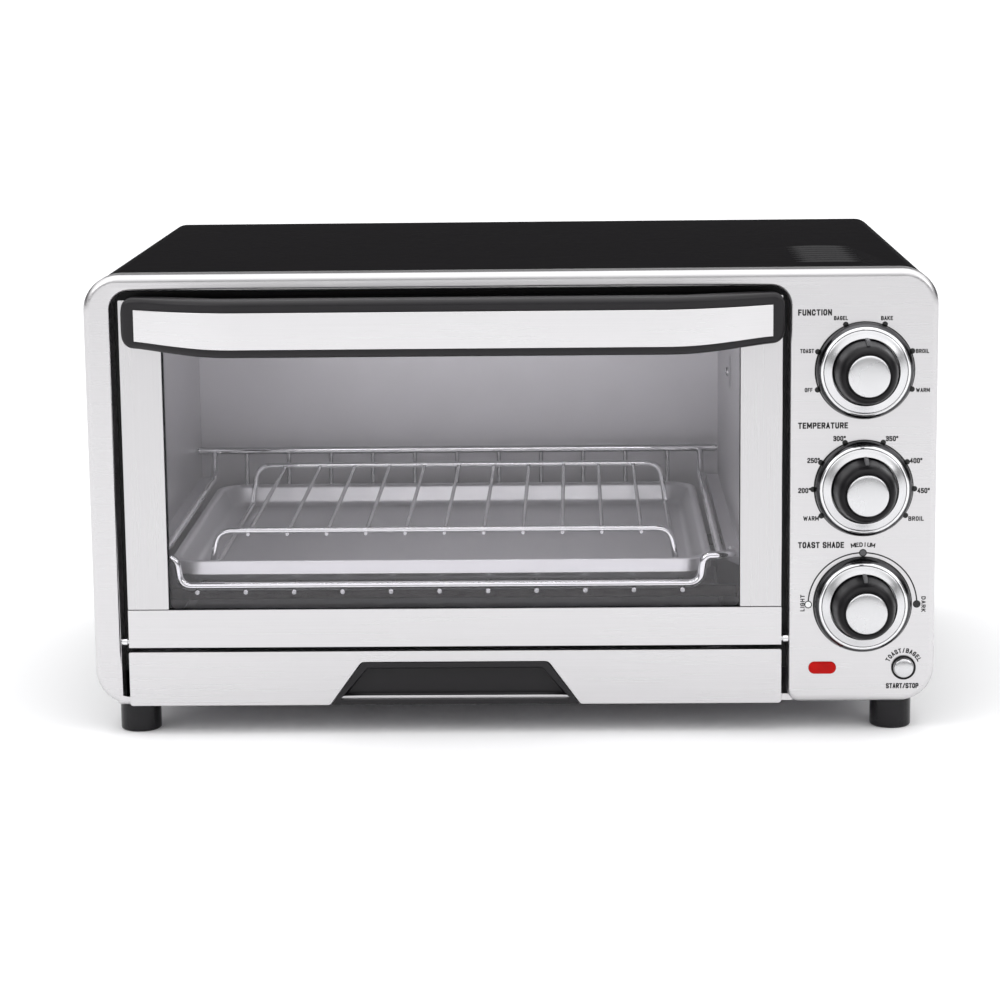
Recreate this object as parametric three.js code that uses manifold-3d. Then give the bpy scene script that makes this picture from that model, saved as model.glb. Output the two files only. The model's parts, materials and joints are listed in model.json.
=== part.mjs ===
// Countertop toaster oven: steel shell, drop-down glass door, three-knob control
// panel, wire racks, baking pan and a pull-out crumb tray.
// Millimetres, +Z up, the door faces -Y. Places are given from the bezel's face
// (y = 0), the oven's middle (x = 0) and the worktop (z = 0). The whole model is
// moved at the end so that its box stands centred on the origin.

import * as THREE from 'three';
import { mergeVertices } from 'three/addons/utils/BufferGeometryUtils.js';
import Module from 'manifold-3d';

const wasm = await Module();
wasm.setup();

// ---------------------------------------------------------------- dimensions

const GAP = 0.3; // between pieces that touch

const WIDTH = 425;
const FOOT_HEIGHT = 16;
const TOP = 235.5;
const DEPTH = 312;

const BEZEL = { sheet: 1, depth: 14, corner: 18, roll: 3.5 };
const COVER = {
  side: 209.5, top: 233.4, bottom: 16.2, front: 14.4, sheet: 1,
  lowCorner: 16, highCorner: 10, under: 193.5,
};
const OPENING = { left: -198.7, right: 138.6, bottom: 20, top: 227, corner: 8.3 };

const DOOR = { left: -194.8, right: 135.4, bottom: 46, top: 224, rear: 9, sheet: 1.2, corner: 6 };
const STILE = 20.9;
const RAIL_TOP = 65.4;
const HINGE = { y: 3.4, z: 48.5, pin: 2 };
const ARM = { inner: 42, outer: 48, sheet: 1.4, head: 81.2, tail: -22 };

const HANDLE = { left: -192.7, right: 135.9, top: 225, bottom: 196.8, endBottom: 199.8, corner: 5.5 };
const HANDLE_PLAN = { bendLeft: -150.5, bendRight: 91, endFront: -6.6, front: -25.8, back: -12.4 };
const PLATE = { left: -185.8, right: 129.9, bottom: 201.1, top: 219.2, sheet: 1, proud: 1.3 };

const CAVITY = { left: -191, right: 117, front: 16.4, rear: 282, floor: 17.4, ceiling: 214, sheet: 0.8 };
const FRAME = { front: 14.5, rear: 15.9, left: -207.6, right: 145, bottom: 31, top: 231.4 };
const LEDGE = { reach: 7, top: 85.4, height: 3.7, ramp: 24 };
const ELEMENT = { radius: 3.2, front: 75, rear: 215, lower: 58, upper: 203 };

const RACK = {
  left: -180.5, right: 105.5, front: 20, rear: 262,
  back: 104, high: 88, low: 73.4, wire: 2.2,
};
const PAN = {
  left: -177, right: 102, front: 26, rear: 254,
  bottom: 72.6, rim: 85.4, skirt: 7.2, sheet: 1.2, corner: 18,
};
const BROIL = {
  left: -153, right: 81, front: 39, rear: 240,
  top: 98.7, foot: 75.7, splay: 3.6, wire: 1.6,
};

const TRAY = { left: -189.8, right: 115.6, front: 8.2, rear: 280, bottom: 20.4, top: 29, sheet: 1 };
const PANEL = { left: -195.2, right: 135.6, bottom: 15.6, top: 43.6, rear: 7.9, sheet: 1.2 };
const GRIP = { middle: -29.6, topHalf: 47.4, bottomHalf: 63.6, top: 37.9, depth: 7.7 };

const KNOB_X = 176;
const KNOBS = [
  { name: 'function', z: 185.1 },
  { name: 'temperature', z: 125.8 },
  { name: 'shade', z: 66.5 },
];
const SHAFT = { radius: 3, front: -13.5, rear: 9.2 };
const BUTTON = { x: 197, z: 33.8, radius: 4.9, front: -2.9, rear: 6.2 };
const LENS = { x: 156.1, z: 33.9, width: 14, height: 6.3, front: -1.1, rear: 3.4 };
const GLAND = { x: 150, z: 48, rear: 316 };
const FOOT = { x: 192.4, front: 18, rear: 290, radius: 10.4 };

// ------------------------------------------------------------------ materials

const finish = (color, roughness, metalness) =>
  new THREE.MeshStandardMaterial({ color, roughness, metalness });

const stainless = finish('#d6d5d8', 0.35, 1);
const blackPaint = finish('#121114', 0.45, 0.2);
const frameBlack = finish('#19191b', 0.55, 0.3);
const galvanised = finish('#8f9193', 0.4, 0.9);
const chrome = finish('#e6e6e8', 0.12, 1);
const satinCap = finish('#cfcfd2', 0.3, 0.9);
const charcoal = finish('#343335', 0.45, 0);
const knobBlack = finish('#1b1a1d', 0.35, 0);
const elementSteel = finish('#6d6a66', 0.5, 0.8);
const panSteel = finish('#b9b9b9', 0.3, 0.9);
const springSteel = finish('#9a9a9c', 0.35, 0.9);
const glass = finish('#dfe6e6', 0.05, 0);
const lensRed = finish('#c01a10', 0.2, 0);
const footPlastic = finish('#2c2b2d', 0.25, 0);
const moulded = finish('#d9d5c8', 0.6, 0);
const board = finish('#5c4a2c', 0.7, 0);

// -------------------------------------------------------------------- helpers

const oven = new THREE.Group();
const v2 = (x, y) => new THREE.Vector2(x, y);
const v3 = (x, y, z) => new THREE.Vector3(x, y, z);

function signedVolume(position, triangles) {
  const [a, b, c] = [v3(0, 0, 0), v3(0, 0, 0), v3(0, 0, 0)];
  let six = 0;
  for (let i = 0; i < triangles.length; i += 3) {
    a.fromBufferAttribute(position, triangles[i]);
    b.fromBufferAttribute(position, triangles[i + 1]);
    c.fromBufferAttribute(position, triangles[i + 2]);
    six += a.dot(b.cross(c));
  }
  return six / 6;
}

// A closed three.js geometry as a manifold solid with its faces pointing out.
function solid(geometry) {
  const bare = geometry.clone();
  bare.deleteAttribute('normal');
  bare.deleteAttribute('uv');
  const merged = mergeVertices(bare, 1e-4);
  const position = merged.getAttribute('position');
  const index = merged.index.array;
  const triangles = [];
  for (let i = 0; i < index.length; i += 3) {
    const [a, b, c] = [index[i], index[i + 1], index[i + 2]];
    if (a !== b && b !== c && c !== a) triangles.push(a, b, c);
  }
  if (signedVolume(position, triangles) < 0) triangles.reverse();
  return new wasm.Manifold(new wasm.Mesh({
    numProp: 3,
    vertProperties: new Float32Array(position.array),
    triVerts: new Uint32Array(triangles),
  }));
}

const join = (...shapes) => shapes.reduce((all, shape) => all.add(shape));
const cut = (shape, ...tools) => tools.reduce((rest, tool) => rest.subtract(tool), shape);

function place(name, shape, material) {
  const data = shape.getMesh();
  const geometry = new THREE.BufferGeometry();
  geometry.setAttribute('position', new THREE.BufferAttribute(data.vertProperties, 3));
  geometry.setIndex(new THREE.BufferAttribute(data.triVerts, 1));
  geometry.computeVertexNormals();
  const mesh = new THREE.Mesh(geometry, material);
  mesh.name = name;
  oven.add(mesh);
}

function box(x0, x1, y0, y1, z0, z1) {
  const geometry = new THREE.BoxGeometry(x1 - x0, y1 - y0, z1 - z0);
  return solid(geometry.translate((x0 + x1) / 2, (y0 + y1) / 2, (z0 + z1) / 2));
}

// A rectangle with its own radius at each corner: low left, low right, top right, top left.
function roundedRect(x0, z0, x1, z1, [lowLeft, lowRight, topRight, topLeft]) {
  const quarter = Math.PI / 2;
  const shape = new THREE.Shape();
  shape.absarc(x0 + lowLeft, z0 + lowLeft, lowLeft, 2 * quarter, 3 * quarter);
  shape.absarc(x1 - lowRight, z0 + lowRight, lowRight, 3 * quarter, 4 * quarter);
  shape.absarc(x1 - topRight, z1 - topRight, topRight, 0, quarter);
  shape.absarc(x0 + topLeft, z1 - topLeft, topLeft, quarter, 2 * quarter);
  shape.closePath();
  return shape;
}

const evenCorners = (radius) => [radius, radius, radius, radius];

// A front view (x, z) given thickness from y0 back to y1, with an optional bevel.
function frontPlate(shape, y0, y1, bevel = 0, curveSegments = 3) {
  const geometry = new THREE.ExtrudeGeometry(shape, {
    depth: y1 - y0 - 2 * bevel,
    bevelEnabled: bevel > 0,
    bevelThickness: bevel,
    bevelSize: bevel,
    bevelOffset: -bevel,
    bevelSegments: 2,
    curveSegments,
  });
  return solid(geometry.rotateX(Math.PI / 2).translate(0, y1 - bevel, 0));
}

// A plan view (x, y) given height from z0 up to z1.
function planPlate(shape, z0, z1, curveSegments = 3) {
  const geometry = new THREE.ExtrudeGeometry(shape, { depth: z1 - z0, bevelEnabled: false, curveSegments });
  return solid(geometry.translate(0, 0, z0));
}

// A side view (y, z) given width from x0 to x1.
function sidePlate(shape, x0, x1, curveSegments = 3) {
  const geometry = new THREE.ExtrudeGeometry(shape, { depth: x1 - x0, bevelEnabled: false, curveSegments });
  const turn = new THREE.Matrix4().makeBasis(v3(0, 1, 0), v3(0, 0, 1), v3(1, 0, 0));
  return solid(geometry.applyMatrix4(turn).translate(x0, 0, 0));
}

// A shape turned about an axis along Y, from [radius, y] pairs.
function turnedY(profile, x, z, sides = 24) {
  const geometry = new THREE.LatheGeometry(profile.map(([r, y]) => v2(r, y)), sides);
  return solid(geometry.translate(x, 0, z));
}

// A shape turned about an upright axis, from [radius, z] pairs.
function turnedZ(profile, x, y, sides = 16) {
  const geometry = new THREE.LatheGeometry(profile.map(([r, z]) => v2(r, z)), sides);
  return solid(geometry.rotateX(Math.PI / 2).translate(x, y, 0));
}

// A round rod along X.
function rodX(x0, x1, y, z, radius, sides = 10) {
  const geometry = new THREE.CylinderGeometry(radius, radius, x1 - x0, sides);
  return solid(geometry.rotateZ(Math.PI / 2).translate((x0 + x1) / 2, y, z));
}

// A round rod along Y.
function rodY(x, z, y0, y1, radius, sides = 10) {
  const geometry = new THREE.CylinderGeometry(radius, radius, y1 - y0, sides);
  return solid(geometry.translate(x, (y0 + y1) / 2, z));
}

// A path through points, sampled at exactly those points.
class WirePath extends THREE.Curve {
  constructor(points) {
    super();
    this.points = points;
  }

  getPointAt(u) {
    const last = this.points.length - 1;
    const along = u * last;
    const i = Math.min(Math.floor(along), last - 1);
    return this.points[i].clone().lerp(this.points[i + 1], along - i);
  }

  getTangentAt(u) {
    const last = this.points.length - 1;
    const i = Math.round(u * last);
    const before = this.points[Math.max(i - 1, 0)];
    const after = this.points[Math.min(i + 1, last)];
    return after.clone().sub(before).normalize();
  }
}

// Corner points with each inner corner rounded over the given length.
function rounded(corners, reach, steps = 3) {
  const points = [corners[0]];
  for (let i = 1; i < corners.length - 1; i += 1) {
    const corner = corners[i];
    const back = corners[i - 1].clone().sub(corner);
    const on = corners[i + 1].clone().sub(corner);
    const start = corner.clone().add(back.clone().setLength(Math.min(reach, back.length() / 2)));
    const end = corner.clone().add(on.clone().setLength(Math.min(reach, on.length() / 2)));
    points.push(...new THREE.QuadraticBezierCurve3(start, corner, end).getPoints(steps));
  }
  points.push(corners[corners.length - 1]);
  return points.filter((point, i) => i === 0 || point.distanceTo(points[i - 1]) > 1e-3);
}

function wire(points, radius, sides = 8) {
  const section = new THREE.Shape();
  section.absarc(0, 0, radius, 0, 2 * Math.PI);
  return solid(new THREE.ExtrudeGeometry(section, {
    steps: points.length - 1,
    extrudePath: new WirePath(points),
    curveSegments: sides / 2,
  }));
}

const range = (count) => [...Array(count).keys()];

// -------------------------------------------------------------------- housing

// The bezel as a full block with a rolled front edge, drawn in by inset.
function bezelBlock(inset) {
  const half = WIDTH / 2 - inset;
  const outline = roundedRect(
    -half, FOOT_HEIGHT + inset, half, TOP - inset, evenCorners(BEZEL.corner - inset));
  return frontPlate(outline, inset, inset + BEZEL.depth + 2 * BEZEL.roll, BEZEL.roll, 3);
}

function pill(width, height, x, z) {
  const [across, up] = [width / 2, height / 2];
  return roundedRect(x - across, z - up, x + across, z + up, evenCorners(up - 0.3));
}

function frontBezel() {
  const lipFront = PANEL.sheet + 1;
  const opening = roundedRect(
    OPENING.left, OPENING.bottom, OPENING.right, OPENING.top, [2, 2, OPENING.corner, OPENING.corner]);
  const shell = cut(
    bezelBlock(0),
    bezelBlock(BEZEL.sheet),
    box(-WIDTH, WIDTH, BEZEL.depth, 4 * BEZEL.depth, 0, 2 * TOP),
    frontPlate(opening, -5, BEZEL.depth + 5),
    box(OPENING.left, OPENING.right, -5, lipFront, 0, OPENING.bottom + 1),
    ...KNOBS.map(({ z }) => rodY(KNOB_X, z, -5, 5, SHAFT.radius + 1.2, 12)),
    rodY(BUTTON.x, BUTTON.z, -5, 5, BUTTON.radius + 1.15, 16),
    frontPlate(pill(LENS.width + 2 * GAP, LENS.height + 2 * GAP, LENS.x, LENS.z), -5, 5),
  );
  const lip = box(
    OPENING.left - 4, OPENING.right + 4,
    lipFront, lipFront + BEZEL.sheet,
    FOOT_HEIGHT + 0.5, OPENING.bottom);
  return join(shell, lip);
}

// The cover's outline from the front, drawn in by inset.
function coverOutline(inset) {
  const { side, top, bottom, lowCorner, highCorner } = COVER;
  const [low, high] = [lowCorner - inset, highCorner - inset];
  return roundedRect(-side + inset, bottom + inset, side - inset, top - inset, [low, low, high, high]);
}

// The wrap over the top and sides, which curls in under the lower corners.
function outerCover() {
  const { top, bottom, front, sheet, under } = COVER;
  const slots = range(8).map((i) => box(146, 180, 58 + 11 * i, 60.4 + 11 * i, top - 5, top + 5));
  return cut(
    frontPlate(coverOutline(0), front, DEPTH, 0, 4),
    frontPlate(coverOutline(sheet), front - 5, DEPTH + 5, 0, 4),
    box(-under, under, front - 5, DEPTH + 5, bottom - 5, bottom + 5),
    ...slots);
}

function backPanel() {
  const outline = coverOutline(COVER.sheet + GAP);
  const slots = range(7).map((i) => box(140 + 9 * i, 143 + 9 * i, DEPTH - 9, DEPTH + 5, 130, 190));
  return cut(
    frontPlate(outline, DEPTH - 1.2, DEPTH - 0.2, 0, 4),
    rodY(GLAND.x, GLAND.z, DEPTH - 9, DEPTH + 5, 7.1, 12),
    ...slots);
}

// The inlet where the mains lead enters, a flanged bush through the back panel.
function cordGland() {
  const neck = DEPTH - 8;
  const flange = DEPTH + GAP;
  return turnedY(
    [[4, neck], [6.7, neck], [6.7, flange], [10.5, flange], [9.5, GLAND.rear], [4, GLAND.rear], [4, neck]],
    GLAND.x, GLAND.z, 16);
}

function foot(x, y) {
  const { radius } = FOOT;
  const top = FOOT_HEIGHT - GAP;
  return turnedZ([[0, 0], [radius - 1.2, 0], [radius, 1.4], [radius, top], [0, top]], x, y, 20);
}

place('front_bezel', frontBezel(), stainless);
place('outer_cover', outerCover(), blackPaint);
place('back_panel', backPanel(), galvanised);
const baseSide = COVER.under - GAP;
place('base_plate', box(-baseSide, baseSide, 14.6, DEPTH - 2, FOOT_HEIGHT, FOOT_HEIGHT + 1), galvanised);
place('cord_gland', cordGland(), knobBlack);
for (const [end, y] of [['front', FOOT.front], ['rear', FOOT.rear]]) {
  place(`foot_${end}_left`, foot(-FOOT.x, y), footPlastic);
  place(`foot_${end}_right`, foot(FOOT.x, y), footPlastic);
}

// --------------------------------------------------------------- oven cavity

const elementSeats = [ELEMENT.lower, ELEMENT.upper].flatMap(
  (z) => [ELEMENT.front, ELEMENT.rear].map((y) => ({ y, z })));

// The x of each door arm's outer face and the direction from it into the door.
const ARM_SIDES = [
  { side: 'left', outer: DOOR.left + 0.2, inward: 1 },
  { side: 'right', outer: DOOR.right - 0.2, inward: -1 },
];

function span(from, to) {
  return from < to ? [from, to] : [to, from];
}

// The black frame that the door closes on, slotted for the door arms.
function frontFrame() {
  const outline = roundedRect(FRAME.left, FRAME.bottom, FRAME.right, FRAME.top, [0.1, 0.1, 0.1, 13]);
  outline.holes.push(roundedRect(
    CAVITY.left + 0.5, DOOR.bottom, CAVITY.right - 1, CAVITY.ceiling - 1, evenCorners(4)));
  const slots = ARM_SIDES.map(({ outer, inward }) => {
    const [x0, x1] = span(outer - 0.5 * inward, outer + (ARM.sheet + 0.5) * inward);
    return box(x0, x1, FRAME.front - 1, FRAME.rear + 1, 86.8, 97.6);
  });
  return cut(frontPlate(outline, FRAME.front, FRAME.rear), ...slots);
}

// One side wall of the cavity, drilled for the elements, with a rack ledge that
// widens from the front.
function sideWall(inner, inward) {
  const { front, rear, floor, ceiling, sheet } = CAVITY;
  const [x0, x1] = span(inner - sheet * inward, inner);
  const ledge = new THREE.Shape();
  ledge.moveTo(inner - 0.2 * inward, front + 4);
  ledge.lineTo(inner + LEDGE.reach * inward, front + LEDGE.ramp);
  ledge.lineTo(inner + LEDGE.reach * inward, rear - 4);
  ledge.lineTo(inner - 0.2 * inward, rear - 4);
  return cut(
    join(
      box(x0, x1, front, rear - 0.4, floor, ceiling - GAP),
      planPlate(ledge, LEDGE.top - LEDGE.height, LEDGE.top)),
    ...elementSeats.map(({ y, z }) => rodX(x0 - 2, x1 + 2, y, z, ELEMENT.radius + 0.6)));
}

place('front_frame', frontFrame(), frameBlack);
place('cavity_left_wall', sideWall(CAVITY.left, 1), galvanised);
place('cavity_right_wall', sideWall(CAVITY.right, -1), galvanised);

const cavityLeft = CAVITY.left - CAVITY.sheet;
const cavityRight = CAVITY.right + CAVITY.sheet;
const cavityTop = CAVITY.ceiling + CAVITY.sheet;
place('cavity_ceiling',
  box(cavityLeft, cavityRight, CAVITY.front, CAVITY.rear - 0.4, CAVITY.ceiling, cavityTop), galvanised);
const rearFace = CAVITY.rear + CAVITY.sheet;
place('cavity_rear_wall',
  box(cavityLeft, cavityRight, CAVITY.rear, rearFace, CAVITY.floor, cavityTop), galvanised);

const bracketGap = 4;
const bracketLeft = cavityLeft - bracketGap;
const bracketRight = cavityRight + bracketGap;
for (const { y, z } of elementSeats) {
  const level = z === ELEMENT.lower ? 'lower' : 'upper';
  const end = y === ELEMENT.front ? 'front' : 'rear';
  const rod = rodX(bracketLeft + GAP, bracketRight - GAP, y, z, ELEMENT.radius);
  place(`${level}_element_${end}`, rod, elementSteel);
}
for (const [side, x0] of [['left', bracketLeft - 1.2], ['right', bracketRight]]) {
  place(`element_bracket_${side}`, box(x0, x0 + 1.2, 62, 228, 50, 211), galvanised);
}

// ----------------------------------------------------------------------- door

// A folded steel stile: a front face with one return along its outer edge.
function doorStile(outer, inward) {
  const { sheet, rear, top, corner } = DOOR;
  const [x0, x1] = span(outer, outer + STILE * inward);
  const [r0, r1] = span(outer, outer + sheet * inward);
  const [right, left] = inward > 0 ? [0.1, corner] : [corner, 0.1];
  const face = roundedRect(x0, RAIL_TOP + GAP, x1, top, [0.1, 0.1, right, left]);
  return join(
    frontPlate(face, 0, sheet),
    box(r0, r1, sheet / 2, rear, RAIL_TOP + GAP, top - corner));
}

function bottomRail() {
  const { left, right, bottom, rear, sheet } = DOOR;
  return join(
    box(left, right, 0, sheet, bottom, RAIL_TOP),
    box(left, right, 0, rear, bottom, bottom + sheet),
    box(left, left + sheet, 0, rear, bottom, RAIL_TOP),
    box(right - sheet, right, 0, rear, bottom, RAIL_TOP));
}

// The inner retainer, a ring that holds the glass against the door's skin and
// folds forward over the top to close the door behind the handle.
function innerFrame() {
  const inset = DOOR.sheet + GAP;
  const top = DOOR.top - 0.8;
  const ring = DOOR.rear - 1.6;
  const windowTop = HANDLE.bottom + 8;
  const outline = roundedRect(
    DOOR.left + inset, DOOR.bottom + inset, DOOR.right - inset, top, [2, 2, DOOR.corner, DOOR.corner]);
  outline.holes.push(roundedRect(
    DOOR.left + STILE, RAIL_TOP - 1.2, DOOR.right - STILE, windowTop, evenCorners(3)));
  const [x0, x1] = [DOOR.left + STILE + GAP, DOOR.right - STILE - GAP];
  return join(
    frontPlate(outline, ring, DOOR.rear),
    box(x0, x1, 0.2, ring + 0.5, top - DOOR.sheet, top),
    box(x0, x1, 0.2, 0.2 + DOOR.sheet, windowTop, top));
}

// The handle in plan, bowed away from the door between two bends. Drawing it in
// by skin gives the line that the front plate follows.
function handlePlan() {
  const { bendLeft, bendRight, endFront, front, back } = HANDLE_PLAN;
  const plan = new THREE.Shape();
  plan.moveTo(HANDLE.left, -GAP);
  plan.lineTo(HANDLE.left, endFront);
  plan.lineTo(HANDLE.left + 8, endFront - 1.6);
  plan.quadraticCurveTo(bendLeft - 12, front + 3, bendLeft + 14, front);
  plan.lineTo(bendRight - 14, front);
  plan.quadraticCurveTo(bendRight + 12, front + 3, HANDLE.right - 8, endFront - 1.6);
  plan.lineTo(HANDLE.right, endFront);
  plan.lineTo(HANDLE.right, -GAP);
  plan.lineTo(HANDLE.right - 18, -GAP);
  plan.lineTo(bendRight - 6, back);
  plan.lineTo(bendLeft + 6, back);
  plan.lineTo(HANDLE.left + 18, -GAP);
  plan.closePath();
  return plan;
}

// A front outline that is deeper between the handle's bends than at its ends.
function handleFace(left, right, bottom, top, endRise, corner) {
  const { bendLeft, bendRight } = HANDLE_PLAN;
  const quarter = Math.PI / 2;
  const low = bottom + endRise + corner;
  const face = new THREE.Shape();
  face.absarc(left + corner, low, corner, 2 * quarter, 3 * quarter);
  face.lineTo(bendLeft, bottom + 0.4);
  face.lineTo(bendLeft + 12, bottom);
  face.lineTo(bendRight - 12, bottom);
  face.lineTo(bendRight, bottom + 0.4);
  face.absarc(right - corner, low, corner, 3 * quarter, 4 * quarter);
  face.absarc(right - corner, top - corner, corner, 0, quarter);
  face.absarc(left + corner, top - corner, corner, quarter, 2 * quarter);
  face.closePath();
  return face;
}

function handleBody() {
  const rise = HANDLE.endBottom - HANDLE.bottom;
  const face = handleFace(HANDLE.left, HANDLE.right, HANDLE.bottom, HANDLE.top, rise, HANDLE.corner);
  return planPlate(handlePlan(), HANDLE.bottom - 1, HANDLE.top + 1, 5)
    .intersect(frontPlate(face, -60, 20));
}

// The steel strip on the handle's front, which follows its bow.
function handlePlate() {
  const bar = planPlate(handlePlan(), HANDLE.bottom - 1, HANDLE.top + 1, 5);
  const grown = bar.translate([0, -PLATE.proud, 0]);
  const face = handleFace(PLATE.left, PLATE.right, PLATE.bottom, PLATE.top, 2.6, 0.5);
  return grown.subtract(bar.translate([0, -PLATE.proud + PLATE.sheet, 0]))
    .intersect(frontPlate(face, -60, HANDLE_PLAN.endFront));
}

// A strap curved about the hinge line. It runs back through the front frame and
// carries the door spring at its tail.
function doorArm(outer, inward) {
  const [x0, x1] = span(outer, outer + ARM.sheet * inward);
  const [f0, f1] = span(outer, outer + 8 * inward);
  const head = THREE.MathUtils.degToRad(ARM.head);
  const tail = THREE.MathUtils.degToRad(ARM.tail);
  const strap = new THREE.Shape();
  strap.absarc(HINGE.y, HINGE.z, ARM.outer, tail, head);
  strap.absarc(HINGE.y, HINGE.z, ARM.inner, head, tail, true);
  strap.closePath();
  return join(
    sidePlate(strap, x0, x1, 6),
    box(f0, f1, DOOR.rear + GAP, DOOR.rear + 1.5, 89, 98));
}

// A coil spring along Y with straight ends: strap tail at the front, base at the rear.
function doorSpring(x) {
  const [frontEnd, rearEnd] = [v3(x, 48, 31), v3(x, 118, 24)];
  const coil = { radius: 3.2, turns: 8, perTurn: 6, start: 0.12, length: 0.76 };
  const steps = coil.turns * coil.perTurn;
  const points = [frontEnd];
  for (let i = 0; i <= steps; i += 1) {
    const angle = (2 * Math.PI * i) / coil.perTurn;
    const centre = frontEnd.clone().lerp(rearEnd, coil.start + (coil.length * i) / steps);
    points.push(centre.add(v3(coil.radius * Math.cos(angle), 0, coil.radius * Math.sin(angle))));
  }
  points.push(rearEnd);
  return wire(points, 0.6, 6);
}

// A block behind the bezel that the hinge pin turns in.
function hingeBracket(x0, x1) {
  return cut(
    box(x0, x1, BEZEL.sheet + 0.4, 13.8, 40, 57),
    rodX(x0 - 1, x1 + 1, HINGE.y, HINGE.z, HINGE.pin + 0.4, 16));
}

place('door_stile_left', doorStile(DOOR.left, 1), stainless);
place('door_stile_right', doorStile(DOOR.right, -1), stainless);
place('door_bottom_rail', bottomRail(), stainless);
place('door_inner_frame', innerFrame(), frameBlack);
place('door_glass', box(DOOR.left + 10, DOOR.right - 10, 3, 7, 56, 216), glass);
place('handle_body', handleBody(), charcoal);
place('handle_plate', handlePlate(), stainless);
place('hinge_pin_left', rodX(-204.6, DOOR.left - GAP, HINGE.y, HINGE.z, HINGE.pin, 12), chrome);
place('hinge_pin_right', rodX(DOOR.right + GAP, 144.6, HINGE.y, HINGE.z, HINGE.pin, 12), chrome);
place('hinge_bracket_left', hingeBracket(-203.8, -200.4), galvanised);
place('hinge_bracket_right', hingeBracket(140.2, 143.6), galvanised);
for (const { side, outer, inward } of ARM_SIDES) {
  place(`door_arm_${side}`, doorArm(outer, inward), galvanised);
  place(`door_spring_${side}`, doorSpring(outer - 5.2 * inward), springSteel);
}

// ------------------------------------------------------------------- controls

const knobSkirt = [
  [16.8, -1], [24.7, -1], [24.8, -2.2], [23.9, -4.4], [22.2, -5.6], [20.6, -5.7],
  [19, -6.3], [16.8, -7.4], [16.8, -1],
];
const knobGrip = [
  [0, -14], [3.3, -14], [3.3, -1], [16.3, -1], [16.4, -8], [15.6, -16],
  [13.9, -20.6], [11.6, -22], [11.1, -22], [11.1, -20.6], [0, -20.6],
];
const knobCap = [[0, -20.9], [10.8, -20.9], [10.8, -22.9], [9.8, -23.7], [5, -24], [0, -24]];

for (const { name, z } of KNOBS) {
  place(`${name}_knob_skirt`, turnedY(knobSkirt, KNOB_X, z, 28), chrome);
  place(`${name}_knob_grip`, turnedY(knobGrip, KNOB_X, z, 20), knobBlack);
  place(`${name}_knob_cap`, turnedY(knobCap, KNOB_X, z, 20), satinCap);
  place(`${name}_shaft`, rodY(KNOB_X, z, SHAFT.front, SHAFT.rear, SHAFT.radius, 12), galvanised);
}

const switchFront = SHAFT.rear + 0.4;
place('function_switch', box(158, 194, switchFront, 34, 167, 203), moulded);
place('thermostat', box(156, 196, switchFront, 40, 107, 144), galvanised);
place('shade_timer', box(152, 200, switchFront, 46, 47, 87), moulded);

function startButton() {
  const { radius, front, rear, x, z } = BUTTON;
  const profile = [
    [0, front], [radius * 0.6, front + 0.25], [radius - 0.3, front + 1.1],
    [radius, front + 1.6], [radius, rear], [0, rear],
  ];
  return turnedY(profile, x, z, 16);
}

// The black bush that the button slides in.
function buttonRing() {
  const inner = BUTTON.radius + 0.35;
  const barrel = BUTTON.radius + 0.9;
  const flange = BUTTON.radius + 1.4;
  const profile = [
    [inner, -1.1], [flange, -1.1], [flange, -GAP], [barrel, -GAP],
    [barrel, 4.2], [inner, 4.2], [inner, -1.1],
  ];
  return turnedY(profile, BUTTON.x, BUTTON.z, 16);
}

// The board that carries the button's switch and the lamp behind the lens.
function controlBoard() {
  return join(
    box(148, 202, 16, 17.6, 21, 45),
    box(BUTTON.x - 5.5, BUTTON.x + 5.5, 9.2, 16.5, BUTTON.z - 5.5, BUTTON.z + 5.5),
    rodY(LENS.x, LENS.z, LENS.rear + 1, 16.5, 2.4, 8));
}

place('start_button', startButton(), satinCap);
place('button_ring', buttonRing(), knobBlack);
place('control_board', controlBoard(), board);
const lensOutline = pill(LENS.width, LENS.height, LENS.x, LENS.z);
place('indicator_lens', frontPlate(lensOutline, LENS.front, LENS.rear, 0.6), lensRed);

// ------------------------------------------------------------- racks and pan

// The shelf: a bent rim wire that dips between its sides, a raised rear bar that
// keeps food from sliding off, stubs that ride on the ledges, and straight wires.
function ovenRack() {
  const { left, right, front, rear, back, high, low, wire: radius } = RACK;
  const thin = 1.3;
  const under = low - radius - thin + 0.7;
  const bend = rear - 8;
  const rim = rounded([
    v3(left, rear, back), v3(left, bend, high), v3(left, front, high),
    v3(left + 8, front, high), v3(left + 10, front, low),
    v3(right - 10, front, low), v3(right - 8, front, high),
    v3(right, front, high), v3(right, bend, high), v3(right, rear, back),
  ], 6);
  const rearBar = wire([v3(left - 9, rear, back), v3(right + 9, rear, back)], radius, 8);
  const bars = range(11).map((i) => {
    const x = -161.6 + 24.8 * i;
    const path = [v3(x, front - 2, under), v3(x, bend + 4, under), v3(x, rear, back)];
    return wire(rounded(path, 6, 2), thin, 6);
  });
  const stubs = [[left - 7, left + 1], [right - 1, right + 7]].flatMap(([x0, x1]) =>
    [front + 14, bend - 10].map((y) => wire([v3(x0, y, high - 0.5), v3(x1, y, high - 0.5)], 1.8, 6)));
  return join(wire(rim, radius, 8), rearBar, ...stubs, ...bars);
}

// A pan outline drawn in by inset.
function panOutline(inset) {
  const { left, right, front, rear, corner } = PAN;
  return roundedRect(
    left + inset, front + inset, right - inset, rear - inset, evenCorners(corner - inset));
}

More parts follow.
